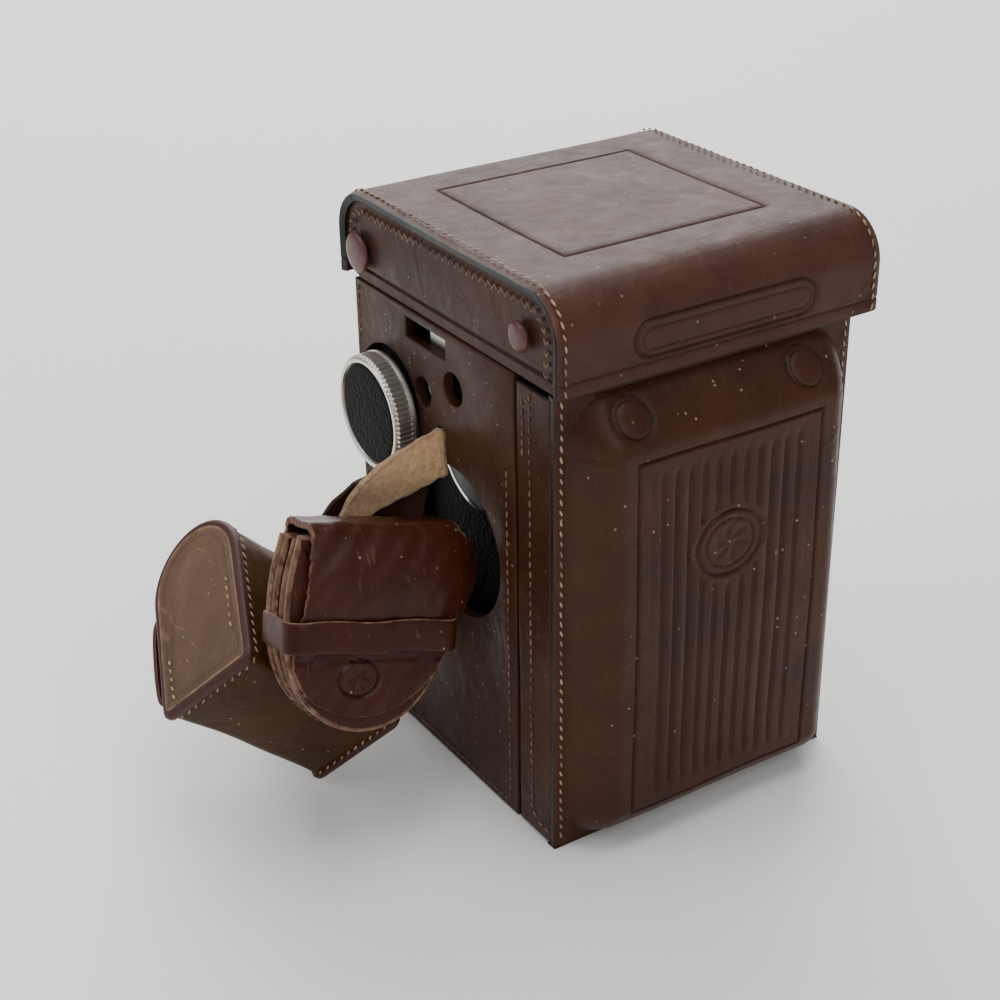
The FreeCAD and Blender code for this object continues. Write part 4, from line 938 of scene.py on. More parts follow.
class TLR_OT_walls(bpy.types.Operator):
    """Case walls and base, with softened edges and sewing"""
    bl_idname = "tlr.walls"
    bl_label = "Walls"

    def execute(self, context):
        case = context.scene.tlr_case
        for node in ("case_left_wall", "case_right_wall", "case_back_wall", "case_base", "front_hinge_strip",
                     "lid_hinge_strip"):
            from_cad(node.replace("case_", "").capitalize(), node, "case", ["case"],
                     bevel=0.05 if node == "front_hinge_strip" else 0.5)
        lo, hi = corners("case_left_wall")
        right = corners("case_right_wall")[1].x
        rows = []
        for x, sign in ((lo.x + 0.05, -1), (right - 0.05, 1)):
            outline = [Vector((x, lo.y + 3.4, 100)), Vector((x, lo.y + 3.4, 2.2)),
                       Vector((x, hi.y - 1.6, 2.2)), Vector((x, hi.y - 1.6, hi.z - 1))]
            rows.append((rounded_path(outline, [3, 2]), (sign, 0, 0), 0.0))
        back = hi.y - 0.05
        outline = [Vector((x, back, z)) for x, z in ((-40, 124), (-40, 2.5), (40, 2.5), (40, 124))]
        rows.append((rounded_path(outline, [3, 3]), (0, 1, 0), 0.0))
        stitches("Wall_stitches", rows, "case", case, "dim_thread")
        return {"FINISHED"}


# ---- knob and camera fittings --------------------------------------------------------------------

def knurled_rim(profile, radius, low, high, knurls, depth):
    """Spins a knob's outline, presses its knurls between two heights, and paints shade into their grooves."""
    bm = bmesh.new()
    spin_profile(bm, [Vector((reach, 0, height)) for reach, height in profile], knurls * 6)
    layer = bm.verts.layers.float.new("shade")
    for vert in bm.verts:
        reach = math.hypot(vert.co.x, vert.co.y)
        if reach > radius - 0.35 and low < vert.co.z < high:
            turn = math.atan2(vert.co.y, vert.co.x) / (2 * math.pi) * knurls
            groove = (0.5 - 0.5 * math.cos(2 * math.pi * turn)) ** 2
            vert.co.xy = vert.co.xy * ((reach - depth * groove) / reach)
            # Painted shade in the knurl grooves.
            vert[layer] = -0.2 * groove ** 2
    return bm


class TLR_OT_winding_knob(bpy.types.Operator):
    """Winding knob: a knurled nickel rim round a disc of leatherette"""
    bl_idname = "tlr.winding_knob"
    bl_label = "Winding knob"

    def execute(self, context):
        knurls = context.scene.tlr_fitting.knurls
        lo, hi = corners("winding_knob")
        centre = Vector((lo.x, (lo.y + hi.y) / 2, (lo.z + hi.z) / 2))
        outer = 15.6
        profile = ((0, 0.75), (13.3, 0.75), (13.5, 0.5), (13.7, 0.08), (14.1, 0.0), (14.6, 0.05), (14.9, 0.3),
                   (15.45, 0.75), (outer, 1.05), (outer, 1.1), (outer, 4.7), (outer, 4.75), (15.2, 4.9),
                   (15.2, 5.2), (15.75, 5.35), (15.8, 5.6), (15.75, 6.1), (15.3, 6.2), (0, 6.2))
        bm = knurled_rim(profile, outer, 0.6, 4.8, knurls, 0.6)
        bmesh.ops.transform(bm, matrix=axis_matrix((1, 0, 0), centre), verts=bm.verts)
        new_piece("Winding_knob", bm, "winding", ["nickel"], ["winding_knob"], smooth=32)

        disc = bmesh.new()
        rings = [(0, 0.12)] + [(step, 0.12 + 0.0011 * step ** 2) for step in range(1, 13)]
        rings += [(12.9, 0.35), (13.45, 0.74)]
        spin_profile(disc, [Vector((radius, 0, depth)) for radius, depth in rings], 96)
        bmesh.ops.transform(disc, matrix=axis_matrix((1, 0, 0), centre), verts=disc.verts)
        turn_outward(disc, centre + Vector((6, 0, 0)))
        new_piece("Winding_knob_disc", disc, "winding", ["leatherette"],
                  ["winding_knob_disc"], smooth=180)
        return {"FINISHED"}


class TLR_OT_focusing_knob(bpy.types.Operator):
    """Focusing knob: knurled round its rim, with a turned step and a dished face"""
    bl_idname = "tlr.focusing_knob"
    bl_label = "Focusing knob"

    def execute(self, context):
        lo, hi = corners("focusing_knob")
        centre = Vector((hi.x, (lo.y + hi.y) / 2, (lo.z + hi.z) / 2))
        outer, deep = (hi.z - lo.z) / 2, hi.x - lo.x
        profile = ((0, 0.5), (10.6, 0.7), (11.0, 0.2), (11.4, 0.0), (outer - 1.2, 0.0), (outer - 0.5, 0.3),
                   (outer, 1.0), (outer, 1.05), (outer, deep - 2.6), (outer, deep - 2.55),
                   (outer - 0.6, deep - 2.3), (outer - 0.6, deep), (0, deep))
        bm = knurled_rim(profile, outer, 0.6, deep - 2.5, context.scene.tlr_fitting.knurls, 0.6)
        bmesh.ops.transform(bm, matrix=axis_matrix((-1, 0, 0), centre), verts=bm.verts)
        new_piece("Focusing_knob", bm, "focusing", ["nickel"], ["focusing_knob"],
                  smooth=32)
        return {"FINISHED"}


class TLR_OT_camera(bpy.types.Operator):
    """Materials of the camera's own parts"""
    bl_idname = "tlr.camera"
    bl_label = "Camera body and lenses"

    def execute(self, context):
        finish = {"satin_metal": "nickel", "bright_chrome": "chrome", "black_enamel": "black",
                  "optical_glass": "glass",
                  "silvered_mirror": "mirror", "spool_metal": "spool", "ivory_dial": "ivory",
                  "black_leatherette": "leatherette", "case_leather": "case", "pouch_leather": "pouch",
                  "suede": "suede", "stud_enamel": "stud"}
        slots = {part["node"]: part["material_slot"] for part in frame["record"]["subparts"]}
        for name, cad in frame["nodes"].items():
            cad.data.materials.clear()
            cad.data.materials.append(MATERIALS[finish[slots[name]]])
        for node, body, bevel in (("lens_board", "lens_panel", 0.8), ("shutter_housing", "lens_panel", 0.6),
                                  ("aperture_lever", "aperture", 0.25), ("speed_lever", "speed", 0.25),
                                  ("release_lever", "release", 0.25), ("hood_frame", "case", 0.5),
                                  ("hood_top_plate", "case", 0.5)):
            from_cad(node.capitalize(), node, body, [finish[slots[node]]], bevel)
        for node in ("taking_lens_barrel", "viewing_lens_barrel"):
            self.lens_ring(node, slots[node])
        self.board_screws()
        self.hood_skin()
        return {"FINISHED"}

    def lens_ring(self, node, slot):
        """A lens barrel with a turned bayonet groove, a bevelled lip and fine steps in its bore."""
        lo, hi = corners(node)
        outer, deep, bore = (hi.z - lo.z) / 2, hi.y - lo.y, 10.0
        steps = [(bore + 0.3 + 0.45 * (index % 2), 2.6 - 0.5 * index) for index in range(4)]
        profile = [(bore, deep), (bore, 3.0), *steps, (bore + 1.1, 0.5), (bore + 1.3, 0.15),
                   (outer - 1.0, 0.0),
                   (outer - 0.35, 0.15), (outer - 0.05, 0.6), (outer, 1.5), (outer - 0.8, 1.7),
                   (outer - 0.8, 2.7), (outer, 2.9), (outer, deep), (bore, deep)]
        bm = bmesh.new()
        spin_profile(bm, [Vector((reach, 0, height)) for reach, height in profile], 96)
        bmesh.ops.transform(bm, matrix=axis_matrix((0, 1, 0), (0, lo.y, (lo.z + hi.z) / 2)), verts=bm.verts)
        new_piece(node.capitalize(), bm, "lens_panel", ["nickel"], [node], smooth=30)

    def board_screws(self):
        """A raised screw near each corner of the lens board."""
        lo, hi = corners("lens_board")
        inset = 4.0
        heads = [dome((x, lo.y, z), (0, -1, 0), 1.7, 0.5)
                 for x in (lo.x + inset, hi.x - inset) for z in (lo.z + inset, hi.z - inset)]
        new_piece("Lens_board_screws", joined(heads), "lens_panel", ["nickel"])

    def hood_skin(self):
        """Leatherette let into the top of the folded finder hood, with a pressed border."""
        lo, hi = corners("hood_top_plate")
        inset, border = 2.2, 3.4
        left, right, front, back = lo.x + inset, hi.x - inset, lo.y + inset, hi.y - inset
        us = ticks(left, right, 2.0, (left + border, right - border), 1.2)
        vs = ticks(front, back, 2.0, (front + border, back - border), 1.2)

        def surface(u, v):
            inside = min(u - left, right - u, v - front, back - v)
            press = line_press(inside - border, 1.2)
            edge = max(0.0, 1 - inside / 1.2)
            return Vector((u, v, hi.z + 0.5 - 0.3 * press - 0.25 * edge ** 2)), -0.5 * press

        bm = panel(us, vs, surface)
        turn_outward(bm, Vector((0, (front + back) / 2, hi.z - 20)))
        new_piece("Hood_top_skin", bm, "case", ["leatherette"], sheet_gauge=0.6,
                  rim=0.2)


# ---- strap and pouches ---------------------------------------------------------------------------

def pouch_place(bm):
    bmesh.ops.transform(bm, matrix=Matrix.Translation(POUCH_ORIGIN) @ POUCH_TURN.to_matrix().to_4x4(),
                        verts=bm.verts)


def hood_case_place(bm):
    turn = HOOD_CASE_TURN.to_matrix().to_4x4()
    bmesh.ops.transform(bm, matrix=Matrix.Translation(HOOD_CASE_ORIGIN) @ turn, verts=bm.verts)


def ply(outline, front, back, edge=0.5, face=None, rim_width=0.0):
    """A layer of leather with rounded edges over a closed outline in the XZ plane.

    Rings of the outline are drawn in towards its middle, over the back, the rim and the front.
    face(inset) gives how far the front is raised and its shade at a distance from the edge.
    """
    ring = outline[:-1] if (outline[0] - outline[-1]).length < 0.01 else outline
    count = len(ring)
    middle = sum(ring, Vector()) / count
    inward = []
    for number, point in enumerate(ring):
        run = (ring[(number + 1) % count] - ring[number - 1]).normalized()
        side = Vector((run.z, 0, -run.x))
        inward.append(side if side.dot(middle - point) > 0 else -side)
    rise = 1 if front < back else -1
    stations = [(share, None, back) for share in (0.0, 0.5)] + [(None, edge + 1.5, back)]
    for step in range(5):
        angle = math.pi / 2 * step / 4
        stations.append((None, edge * (1 - math.sin(angle)), back - rise * edge * (1 - math.cos(angle))))
    for step in range(5):
        angle = math.pi / 2 * step / 4
        stations.append((None, edge * (1 - math.cos(angle)), front + rise * edge * (1 - math.sin(angle))))
    stations += [(None, inset, front) for inset in (1.4, 2.0, 2.6, 3.2, 3.8, 4.4, 5.2, 6.4, 8.0)]
    stations += [(share, None, front) for share in (0.42, 0.3, 0.2, 0.1, 0.0)]

    def surface(u, v):
        number = int(u) % count
        point = ring[number]
        share, inset, y = stations[int(v)]
        reach = (middle - point).length
        if inset is None:
            place = middle.lerp(point, share)
            inset = reach * (1 - share)
        else:
            away = min(inset, reach * 0.55)
            turned = inward[number].lerp((middle - point) / reach, min(1.0, inset / 9.0))
            place = point + turned * away
        shade = 0.0
        if face and y == front:
            raised, shade = face(inset)
            y = y - rise * raised
        elif inset < edge:
            shade = 0.7
        if rim_width and inset < rim_width:
            shade = 0.7
        return Vector((place.x, y, place.z)), shade

    bm = panel([float(i) for i in range(count + 1)], [float(i) for i in range(len(stations))], surface)
    bmesh.ops.remove_doubles(bm, verts=bm.verts, dist=0.002)
    bmesh.ops.recalc_face_normals(bm, faces=bm.faces)
    if rim_width:
        layer = bm.verts.layers.float["shade"]
        for item in bm.faces:
            item.material_index = 1 if all(vert[layer] > 0.65 for vert in item.verts) else 0
    return bm


class TLR_OT_strap(bpy.types.Operator):
    """Accessory strap: suede side out at the wall, then folded down behind the pouches"""
    bl_idname = "tlr.strap"
    bl_label = "Accessory strap"

    def execute(self, context):
        self.leaf("Accessory_strap", UPPER_EDGE, LOWER_EDGE, ["accessory_strap"], ["suede", "case"], 60)
        self.leaf("Accessory_strap_lining", LINING_UPPER, LINING_LOWER, [], ["case", "suede"], 90)
        self.leaf("Accessory_strap_tail", TAIL_RIGHT, TAIL_LEFT, [], ["case", "suede"], 60)
        return {"FINISHED"}

    def leaf(self, name, upper, lower, nodes, finishes, behind):
        us = ticks(0, 1, 0.08)
        vs = [float(i) / 5 for i in range(5 * (len(upper) - 1) + 1)]

        def surface(u, v):
            top, bottom = catmull(upper, v), catmull(lower, v)
            across = (top - bottom).normalized()
            run = catmull(lower, min(v + 0.1, len(lower) - 1.0)) - catmull(lower, max(v - 0.1, 0.0))
            out = run.cross(across).normalized()
            curl = 0.9 * (4 * (u - 0.5) ** 2 - 0.6) * math.sin(v * 0.9)
            rough = 0.22 * math.sin(v * 7 + u * 2) * abs(2 * u - 1) ** 4
            # Darker along both long edges.
            edge = max(0.0, abs(2 * u - 1) - 0.86) / 0.14
            return bottom.lerp(top, u) + across * rough + out * curl, -0.55 * edge

        bm = panel(us, vs, surface)
        turn_outward(bm, Vector((-50, behind, 70)))
        new_piece(name, bm, "pouches", finishes, nodes, sheet_gauge=1.5,
                  rim=0.35, lined=True, same_rim=True)


# The strap leaves the wall suede side out, falls away from it, and goes down behind the pouches.
UPPER_EDGE = [Vector(p) for p in ((-42.4, 4.4, 98.3), (-45.1, 4.2, 98.4), (-52, 3.1, 97.0), (-60, 1.8, 95.2),
                                  (-65.5, 1.6, 92.6), (-69, 4.0, 88.0), (-71, 8.0, 80.0),
                                  (-72.5, 10.5, 70.0))]
LOWER_EDGE = [Vector(p) for p in ((-42.4, 3.9, 84.9), (-45.1, 3.2, 85.3), (-50, 4.3, 83.2), (-56, 6.5, 80.6),
                                  (-61, 8.6, 78.3), (-64, 10.2, 75.5), (-64.5, 11.5, 70.0),
                                  (-64.0, 12.0, 61.0))]
LINING_UPPER = [Vector(p) for p in ((-56.0, 6.5, 90.0), (-61.5, 8.0, 89.0), (-67.5, 10.5, 85.5),
                                    (-73.5, 12.5, 79.5), (-78.0, 13.5, 72.0), (-81.0, 14.0, 65.0))]
LINING_LOWER = [Vector(p) for p in ((-51.0, 8.5, 82.0), (-55.5, 10.5, 80.0), (-59, 12.0, 76.5),
                                    (-63.5, 13.5, 70.0), (-66.0, 14.5, 65.0), (-68.0, 14.5, 59.0))]
TAIL_RIGHT = [Vector(p) for p in ((-46.0, 6.2, 88.0), (-46.6, 7.4, 80.0), (-48.2, 8.6, 71.0),
                                  (-50.5, 9.6, 62.0))]
TAIL_LEFT = [Vector(p) for p in ((-57.0, 8.6, 85.0), (-60.0, 10.2, 78.0), (-61.5, 11.2, 70.0),
                                 (-63.0, 12.0, 60.0))]


def catmull(points, place):
    """A point on the smooth curve through a list of points, at a place counted in points."""
    number = min(int(place), len(points) - 2)
    share = place - number
    before = points[max(number - 1, 0)]
    start, end = points[number], points[number + 1]
    after = points[min(number + 2, len(points) - 1)]
    return 0.5 * (2 * start + (end - before) * share + (2 * before - 5 * start + 4 * end - after) * share ** 2
                  + (3 * start - before - 3 * end + after) * share ** 3)


# The flap's left and right edge at each distance below the pouch's top.
FLAP_DOWN = (-30.0, 0.0, 4.0, 10.0, 15.0, 22.5, 30.0, 35.0, 40.0, 43.0, 45.0, 45.9)
FLAP_LEFT = (3.4, 3.2, 3.2, 3.0, 2.8, 1.8, 0.4, 1.2, 4.0, 8.0, 13.0, 18.2)
FLAP_RIGHT = (40.0, 43.0, 47.6, 50.6, 49.6, 44.0, 41.0, 38.2, 33.6, 29.0, 24.0, 18.6)


class TLR_OT_flap_pouch(bpy.types.Operator):
    """Flap pouch: layered body, a flap that folds over the top, and a band that holds its tip"""
    bl_idname = "tlr.flap_pouch"
    bl_label = "Flap pouch"
    width, height, gauge = 42.0, 50.5, 14.0

    def execute(self, context):
        case = context.scene.tlr_case
        self.body()
        self.flap()
        self.band()
        self.sewing(case)
        return {"FINISHED"}

    def outline(self, inset, left=-1.4, top=-2.4):
        """The U of a ply, from its top left corner round to its top right corner."""
        right, low = self.width - 0.5, -self.height
        half = (right - left) / 2 - inset
        middle = (left + right) / 2
        straight = -24.0
        arc = []
        for i in range(41):
            angle = math.pi * i / 40
            arc.append(Vector((middle - half * math.cos(angle), 0,
                               straight + (low + inset - straight) * math.sin(angle) ** 0.92)))
        start, end = Vector((left + inset + 2.6, 0, top - inset)), Vector((right - inset, 0, top - inset))
        first = [start.lerp(arc[0], i / 9) - Vector((0.9 * math.sin(math.pi * i / 9), 0,
                                                     0)) for i in range(9)]
        last = [arc[-1].lerp(end, (i + 1) / 9) for i in range(9)]
        return first + arc + last

    def body(self):
        """Front and back plies with gusset layers between them, each with its raw rounded edge."""
        layers = ((0.0, 2.3, 0.0, 0.8), (2.4, 4.4, 1.1, 0.9), (4.5, 6.9, 0.5, 1.1), (7.0, 9.0, 1.6, 0.9),
                  (9.1, 11.4, 0.4, 1.1), (11.5, 13.9, 0.0, 0.9))
        made = []
        for number, (front, back, inset, edge) in enumerate(layers):
            made.append(ply(self.outline(inset, top=-2.2 - 0.5 * (number % 3)), front, back, edge=edge))
        bm = joined(made)
        pouch_place(bm)
        new_piece("Flap_pouch_body", bm, "pouches", ["pouch"], ["flap_pouch_body"],
                  smooth=50)

    def flap(self):
        """The sheet comes up the back, over the top and down the front, and ends in a round tip."""
        g = self.gauge
        path = rounded_path([Vector((0, g + 1.9, -14)), Vector((0, g + 1.9, 0.9)), Vector((0, -1.9, 0.9)),
                             Vector((0, -1.9, -46.2))], [3.6, 3.4], step=0.6)
        lengths = [(b - a).length for a, b in zip(path, path[1:])]
        total = sum(lengths)
        root = total - 46.2 - 0.9 + 3.4 * 0.43
        us = [0.5 - 0.5 * math.cos(math.pi * i / 96) for i in range(97)]
        vs = sorted(set(ticks(0, total - 6, 0.6) + ticks(total - 6, total, 0.35)))
        left_of, right_of = table(FLAP_DOWN, FLAP_LEFT), table(FLAP_DOWN, FLAP_RIGHT)

        def surface(u, v):
            place, run = walk_to(path, v)
            normal = Vector((0, -run.z, run.y)) * -1
            down = v - root
            left, right = left_of(down), right_of(down)
            x = left + (right - left) * u
            lobe = max(0.0, x - 37.0)
            back = 0.03 * lobe ** 2 if down > -4 else 0.0
            swell = 2.1 * math.sin(math.pi * min(1.0, max(0.0, down / 25.0))) * math.sin(math.pi * u) ** 0.6
            held = -0.3 if 22.0 < down < 32.0 else 0.0
            rumple = 0.3 * math.sin(x * 0.23 + v * 0.31) * math.sin(v * 0.17) + 0.14 * math.sin(x * 0.9
                                                                                                + v * 0.6)
            crest = lozenge_press(x - 17.6, place.z + 36.6) if down > 20 else 0.0
            near = min(u, 1 - u) * (right - left)
            edge = max(0.0, 1 - near / 1.3)
            if down > 30:
                edge = max(edge, 1 - (45.9 - down) / 1.2)
            fray = edge * 0.25 * math.sin(v * 2.3) * math.sin(v * 0.7)
            spot = Vector((x + fray, place.y + back, place.z))
            fold = 0.35 * line_press(down - 23.2, 3.0) + 0.25 * line_press(down - 1.5, 5)
            # The pressed mark gets painted shade; the edges and the two fold lines are paler.
            return spot + normal * (swell + held + rumple * 0.6 - 0.6
                                    * crest), 0.6 * edge + fold - 0.6 * crest

        bm = panel(us, vs, surface)
        turn_outward(bm, Vector((22, g / 2, -12)))
        pouch_place(bm)
        new_piece("Flap_pouch_flap", bm, "pouches", ["pouch", "pale_edge"],
                  ["flap_pouch_flap"], sheet_gauge=1.7, rim=0.4)

    def band(self):
        """The band runs round the front and both sides, tight over the flap."""
        g = self.gauge
        outline = [(-1.9, g, 0), (-1.9, -3.3, 0), (43.4, -3.3, 0), (43.4, g, 0)]
        path = rounded_path(outline, [4.6, 3.0], step=0.8)
        total = sum((b - a).length for a, b in zip(path, path[1:]))
        vs = ticks(0, total, 1.0)
        us = [-30.3, -30.0, -29.4, -28.4, -26.3, -24.2, -23.2, -22.6, -22.3]

        def surface(u, v):
            place, run = walk_to(path, v)
            out = Vector((-run.y, run.x, 0)).normalized()
            out = out if out.dot(place - Vector((21, g / 2, 0))) > 0 else -out
            edge = max(0.0, 1 - min(u + 30.3, -22.3 - u) / 0.6)
            front = math.exp(-((v - total / 2) / 15) ** 2)
            top_edge = 1.0 if u > -23.0 else 0.6
            wave = 0.25 * math.sin(v * 0.3)
            return place + Vector((0, 0, u + wave)) + out * (0.6 * front - 0.2 * edge), edge * top_edge

        bm = panel(us, vs, surface)
        turn_outward(bm, Vector((21, g / 2, -27)))
        pouch_place(bm)
        new_piece("Flap_pouch_band", bm, "pouches", ["pouch", "pale_edge"],
                  ["flap_pouch_band"], sheet_gauge=1.3, rim=0.3)

    def sewing(self, case):
        """Thread round the U between the plies, at its left and along its foot."""
        turn = POUCH_TURN.to_matrix()
        middle = Vector((20, 0, -24))
        rows = []
        for depth, inset in ((5.7, -0.1), (10.2, -0.1)):
            row = []
            for point in self.outline(inset):
                if point.z < -6 and point.x < 30:
                    row.append(POUCH_ORIGIN + turn @ Vector((point.x, depth, point.z)))

            def away(place):
                local = turn.transposed() @ (place - POUCH_ORIGIN) - middle
                return turn @ (Vector((-1, 0, 0)) if local.z > 0 else Vector((local.x, 0, local.z)))

            rows.append((row, away, 0.35))
        stitches("Flap_pouch_stitches", rows, "pouches", case, "dim_thread")


def table(places, values):
    """A smooth reading between listed values."""
    points = [Vector((value, 0, 0)) for value in values]

    def read(place):
        place = min(max(place, places[0]), places[-1])
        for number in range(len(places) - 1):
            if place <= places[number + 1]:
                share = (place - places[number]) / (places[number + 1] - places[number])
                return catmull(points, number + min(share, 0.9999)).x
        return values[-1]

    return read


def lozenge_press(x, z):
    """A pressed ring with a six-petalled mark in it."""
    far = math.hypot(x / 1.15, z)
    mark = 0.0
    if far < 3.2:
        mark = 0.7 * (0.5 + 0.5 * math.cos(6 * math.atan2(z, x))) * math.sin(math.pi * far / 3.2)
    return min(1.0, line_press(far - 4.6, 1.2) + mark)


def walk_to(path, distance):
    """The point and direction at a distance along a polyline."""
    for a, b in zip(path, path[1:]):
        length = (b - a).length
        if distance <= length or b is path[-1]:
            return a + (b - a) * min(1.0, distance / length), (b - a).normalized()
        distance -= length
    return path[-1], (path[-1] - path[-2]).normalized()


class TLR_OT_hood_case(bpy.types.Operator):
    """Lens hood case: two sewn D shaped ends and a leather wrap between them"""
    bl_idname = "tlr.hood_case"
    bl_label = "Lens hood case"
    width, height, length = 32.9, 52.5, 53.4

    def execute(self, context):
        case = context.scene.tlr_case
        self.caps()
        self.wrap()
        self.snap()
        self.loop()
        self.sewing(case)
        return {"FINISHED"}

    def loop(self):
        """A belt loop of thin leather on the case's outer side."""
        route = [Vector(p) for p in ((0.4, 0, 34), (-1.8, 0, 31), (-2.6, 0, 24), (-2.7, 0, 15), (-2.0, 0, 8),
                                     (0.4, 0, 5))]
        vs = [float(i) / 5 for i in range(5 * (len(route) - 1) + 1)]

        def surface(u, v):
            place = catmull(route, v)
            return Vector((place.x, u, place.z)), 0.6 * max(0.0, 1 - min(u - 1.0, 15.0 - u) / 1.0)

        bm = panel(ticks(1.0, 15.0, 1.0), vs, surface)
        turn_outward(bm, Vector((16, 8, 20)))
        hood_case_place(bm)
        new_piece("Hood_case_loop", bm, "pouches", ["pouch", "red_edge"],
                  sheet_gauge=1.3, rim=0.3)

    def outline(self, inset, step=1.4, corner=3.0):
        """The D, from the middle of its flat round and back, in the XZ plane."""
        w, crown = self.width, self.height - self.width / 2
        left, right, low = inset, w - inset, inset
        radius = w / 2 - inset
        flat = rounded_path([Vector((w / 2, 0, low)), Vector((right, 0, low)), Vector((right, 0, crown))],
                            [corner], step)
        arc = [Vector((w / 2 + radius * math.cos(a), 0, crown + radius * math.sin(a)))
               for a in [math.pi * i / 30 for i in range(1, 30)]]
        back = rounded_path([Vector((left, 0, crown)), Vector((left, 0, low)), Vector((w / 2, 0, low))],
                            [corner], step)
        return flat + arc + back

    def caps(self):
        for name, node, front, back in (("Hood_case_near_cap", "hood_case_near_cap", 0.1, 2.5),
                                        ("Hood_case_far_cap", "hood_case_far_cap", self.length - 2.5,
                                         self.length - 0.1)):
            outer, inner = (front, back) if name == "Hood_case_near_cap" else (back, front)
            bm = ply(self.outline(0.1), outer, inner, edge=1.0, face=self.cap_face, rim_width=2.3)
            hood_case_place(bm)
            new_piece(name, bm, "pouches", ["hood_case", "red_edge"], [node],
                      smooth=45)

    def cap_face(self, inset):
        """A shallow dish inside a raised border, with a pressed line round it."""
        line = line_press(inset - 4.6, 1.2)
        dish = min(1.0, max(0.0, (inset - 4.4) / 3.5))
        puff = 0.5 * min(1.0, max(0.0, (inset - 8.0) / 6.0))
        pale = 0.55 if 2.3 <= inset < 3.0 else 0.0
        # The pressed line gets painted shade; a thin ring just inside the edge is paler.
        return 0.15 - 0.35 * dish + puff - 0.3 * line, pale - 0.5 * line

    def wrap(self):
        ring = self.outline(0.9)
        ring = ring[:-1]
        count = len(ring)
        ys = ticks(2.3, self.length - 2.3, 2.2)
        middle = Vector((self.width / 2, 0, self.height / 2))

        def surface(u, v):
            point = ring[int(u) % count]
            share = (v - 2.3) / (self.length - 4.6)
            waist = 0.7 * math.sin(math.pi * share)
            rumple = 0.25 * math.sin(2 * math.pi * 3 * u / count + v * 0.17)
            inward = (middle - point).normalized()
            edge = max(0.0, 1 - min(v - 2.3, self.length - 2.3 - v) / 1.6)
            return Vector((point.x, v, point.z)) + inward * (waist + rumple
                                                             * math.sin(math.pi * share)), 0.6 * edge

        bm = panel([float(i) for i in range(count + 1)], ys, surface)
        bmesh.ops.remove_doubles(bm, verts=bm.verts, dist=0.001)
        turn_outward(bm, Vector((self.width / 2, self.length / 2, self.height / 2)))
        hood_case_place(bm)
        new_piece("Hood_case_wrap", bm, "pouches", ["hood_wrap", "red_edge"],
                  ["hood_case_wrap"], sheet_gauge=1.8, rim=0.4)

    def snap(self):
        lo, hi = corners("hood_case_snap")
        turn = HOOD_CASE_TURN.to_matrix()
        axis = turn @ Vector((1, 0, 0))
        centre = (lo + hi) / 2 - axis * 0.7
        new_piece("Hood_case_snap", dome(centre, axis, 3.9, 1.3), "pouches",
                  ["nickel"], ["hood_case_snap"])

    def sewing(self, case):
        turn = HOOD_CASE_TURN.to_matrix()
        put = lambda p, y: HOOD_CASE_ORIGIN + turn @ Vector((p.x, y, p.z))
        rows = []
        for start, end in ((Vector((27.6, 0, 12)), Vector((27.9, 0, 29))),
                           (Vector((5.2, 0, 3.6)), Vector((4.6, 0, 17)))):
            rows.append(([put(start, -0.02), put(end, -0.02)], turn @ Vector((0, -1, 0)), 0.3))

        def away(place):
            local = turn.transposed() @ (place - HOOD_CASE_ORIGIN)
            crown = self.height - self.width / 2
            if local.z > crown:
                return turn @ Vector((local.x - self.width / 2, 0, local.z - crown))
            if local.z < 3:
                return turn @ Vector((0, 0, -1))
            return turn @ Vector((-1 if local.x < self.width / 2 else 1, 0, 0))

        for y in (2.9, self.length - 2.9):
            rows.append(([put(p, y) for p in self.outline(0.6)], away, 0.5))
        stitches("Hood_case_stitches", rows, "pouches", case, "thread")


# ---- stage ---------------------------------------------------------------------------------------

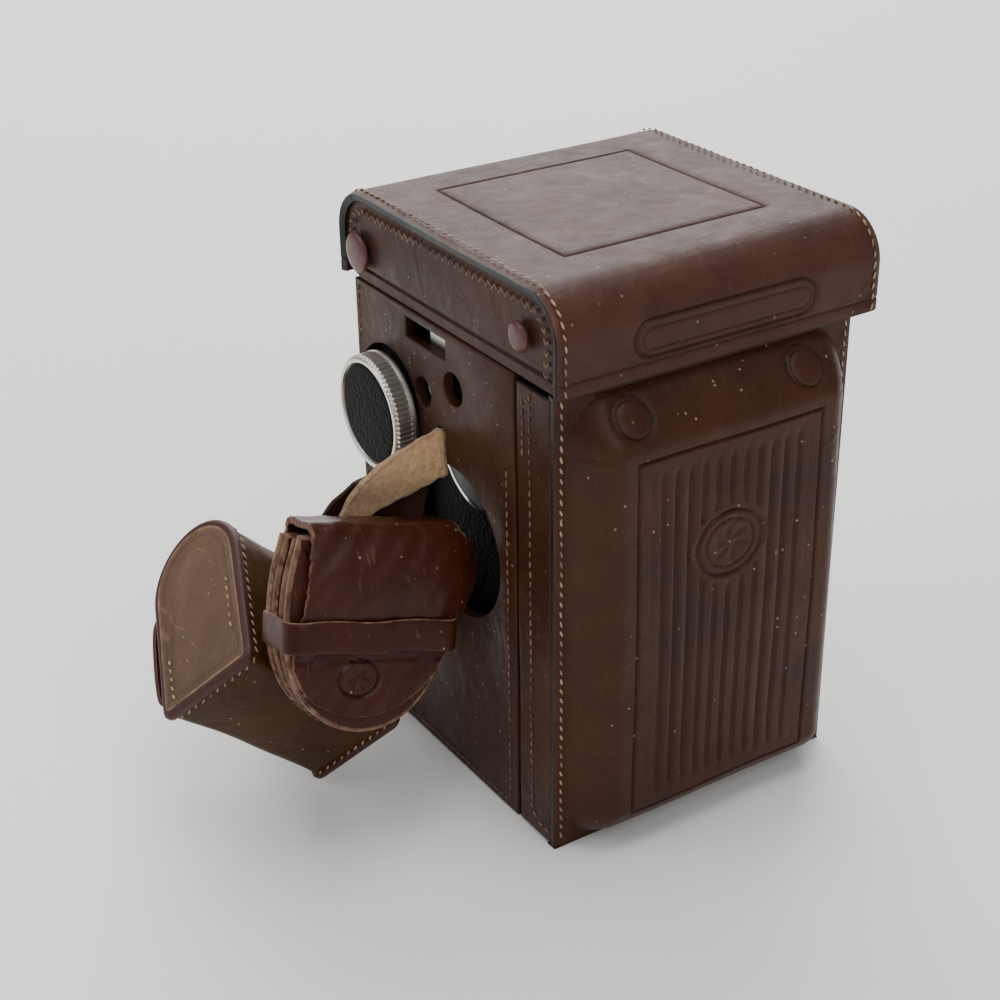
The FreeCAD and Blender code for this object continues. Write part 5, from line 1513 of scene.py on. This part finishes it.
class TLR_OT_stage(bpy.types.Operator):
    """Pale floor, soft lights and the camera"""
    bl_idname = "tlr.stage"
    bl_label = "Stage"

    def execute(self, context):
        settings = context.scene.tlr_stage
        self.floor(settings)
        self.lights(settings)
        self.camera()
        return {"FINISHED"}

    def floor(self, settings):
        bm = bmesh.new()
        bmesh.ops.create_grid(bm, x_segments=1, y_segments=1, size=4000)
        bmesh.ops.scale(bm, vec=(MM, MM, MM), verts=bm.verts)
        mesh = bpy.data.meshes.new("Floor")
        bm.to_mesh(mesh)
        bm.free()
        floor = bpy.data.objects.new("Floor", mesh)
        bpy.context.scene.collection.objects.link(floor)
        floor.location.z = -0.0002
        material, tree, place = start_material("Matt paper")
        cloud = add_node(tree, "ShaderNodeTexNoise", {"Scale": 6.0, "Detail": 2.0}, Vector=place)
        tone = add_node(tree, "ShaderNodeMix", {"data_type": "RGBA", 0: cloud.outputs["Fac"],
                                                6: settings.floor_colour,
                                                7: scaled(settings.floor_colour, 0.97)}).outputs[2]
        shader = add_node(tree, "ShaderNodeBsdfPrincipled", {"Roughness": 0.7}, Base_Color=tone)
        end_material(tree, shader)
        mesh.materials.append(material)

    def lights(self, settings):
        """A large window high behind the object's left, a broad fill from the front, and a pale sky."""
        for name, place, size, power in (("Window", (0.75, 1.45, 1.25), 1.9, settings.window_power),
                                         ("Left sky", (-1.3, 0.5, 1.2), 1.2, settings.window_power * 0.22),
                                         ("Front fill", (-0.35, -1.9, 1.5), 1.6,
                                          settings.window_power * 0.42),
                                         ("Top", (0.2, -0.1, 1.9), 1.2, settings.window_power * 0.36)):
            data = bpy.data.lights.new(name, "AREA")
            data.energy = power
            data.size = size
            light = bpy.data.objects.new(name, data)
            bpy.context.scene.collection.objects.link(light)
            light.location = place
            light.rotation_euler = (Vector((0, 0, 0.06)) - Vector(place)).to_track_quat("-Z", "Y").to_euler()
        world = bpy.data.worlds.new("Studio")
        bpy.context.scene.world = world
        world.use_nodes = True
        world.node_tree.nodes["Background"].inputs["Color"].default_value = (*srgb("e9edf2"), 1)
        world.node_tree.nodes["Background"].inputs["Strength"].default_value = 0.36

    def camera(self):
        """A portrait lens, high at the object's front left."""
        data = bpy.data.cameras.new("Camera")
        data.sensor_width = 36
        data.lens = 65.89
        camera = bpy.data.objects.new("Camera", data)
        bpy.context.scene.collection.objects.link(camera)
        forward = Vector((0.47141, 0.74608, -0.47026)).normalized()
        right = Vector((0.84113, -0.54064, -0.01455)).normalized()
        up = right.cross(forward)
        turn = Matrix((right, up, -forward)).transposed()
        camera.matrix_world = Matrix.Translation((-0.2513, -0.3509, 0.2972)) @ turn.to_4x4()
        data.clip_start = 0.01
        bpy.context.scene.camera = camera


class TLR_PT_sidebar(bpy.types.Panel):
    """Lists the settings and the steps"""
    bl_idname = "TLR_PT_sidebar"
    bl_label = "Cased twin lens camera"
    bl_space_type = "VIEW_3D"
    bl_region_type = "UI"
    bl_category = "Camera Case"

    def draw(self, context):
        for group in (context.scene.tlr_case, context.scene.tlr_pouch, context.scene.tlr_fitting,
                      context.scene.tlr_stage):
            for name in group.bl_rna.properties.keys():
                if name not in {"rna_type", "name"}:
                    self.layout.prop(group, name)
        for operator in STEPS:
            self.layout.operator(operator.bl_idname)


STEPS = (TLR_OT_camera, TLR_OT_lid, TLR_OT_front_cover, TLR_OT_walls, TLR_OT_winding_knob,
         TLR_OT_focusing_knob, TLR_OT_strap, TLR_OT_flap_pouch, TLR_OT_hood_case, TLR_OT_stage)
CLASSES = (CaseSettings, PouchSettings, FittingSettings, StageSettings, *STEPS, TLR_PT_sidebar)


def register():
    for item in CLASSES:
        bpy.utils.register_class(item)
    bpy.types.Scene.tlr_case = PointerProperty(type=CaseSettings)
    bpy.types.Scene.tlr_pouch = PointerProperty(type=PouchSettings)
    bpy.types.Scene.tlr_fitting = PointerProperty(type=FittingSettings)
    bpy.types.Scene.tlr_stage = PointerProperty(type=StageSettings)


def unregister():
    for name in ("tlr_case", "tlr_pouch", "tlr_fitting", "tlr_stage"):
        delattr(bpy.types.Scene, name)
    for item in reversed(CLASSES):
        bpy.utils.unregister_class(item)


def main():
    register()
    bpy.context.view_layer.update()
    make_materials(bpy.context.scene)
    bpy.ops.tlr.camera()
    bpy.ops.tlr.lid()
    bpy.ops.tlr.front_cover()
    bpy.ops.tlr.walls()
    bpy.ops.tlr.winding_knob()
    bpy.ops.tlr.focusing_knob()
    bpy.ops.tlr.strap()
    bpy.ops.tlr.flap_pouch()
    bpy.ops.tlr.hood_case()
    bpy.ops.tlr.stage()


if __name__ == "__main__":
    main()
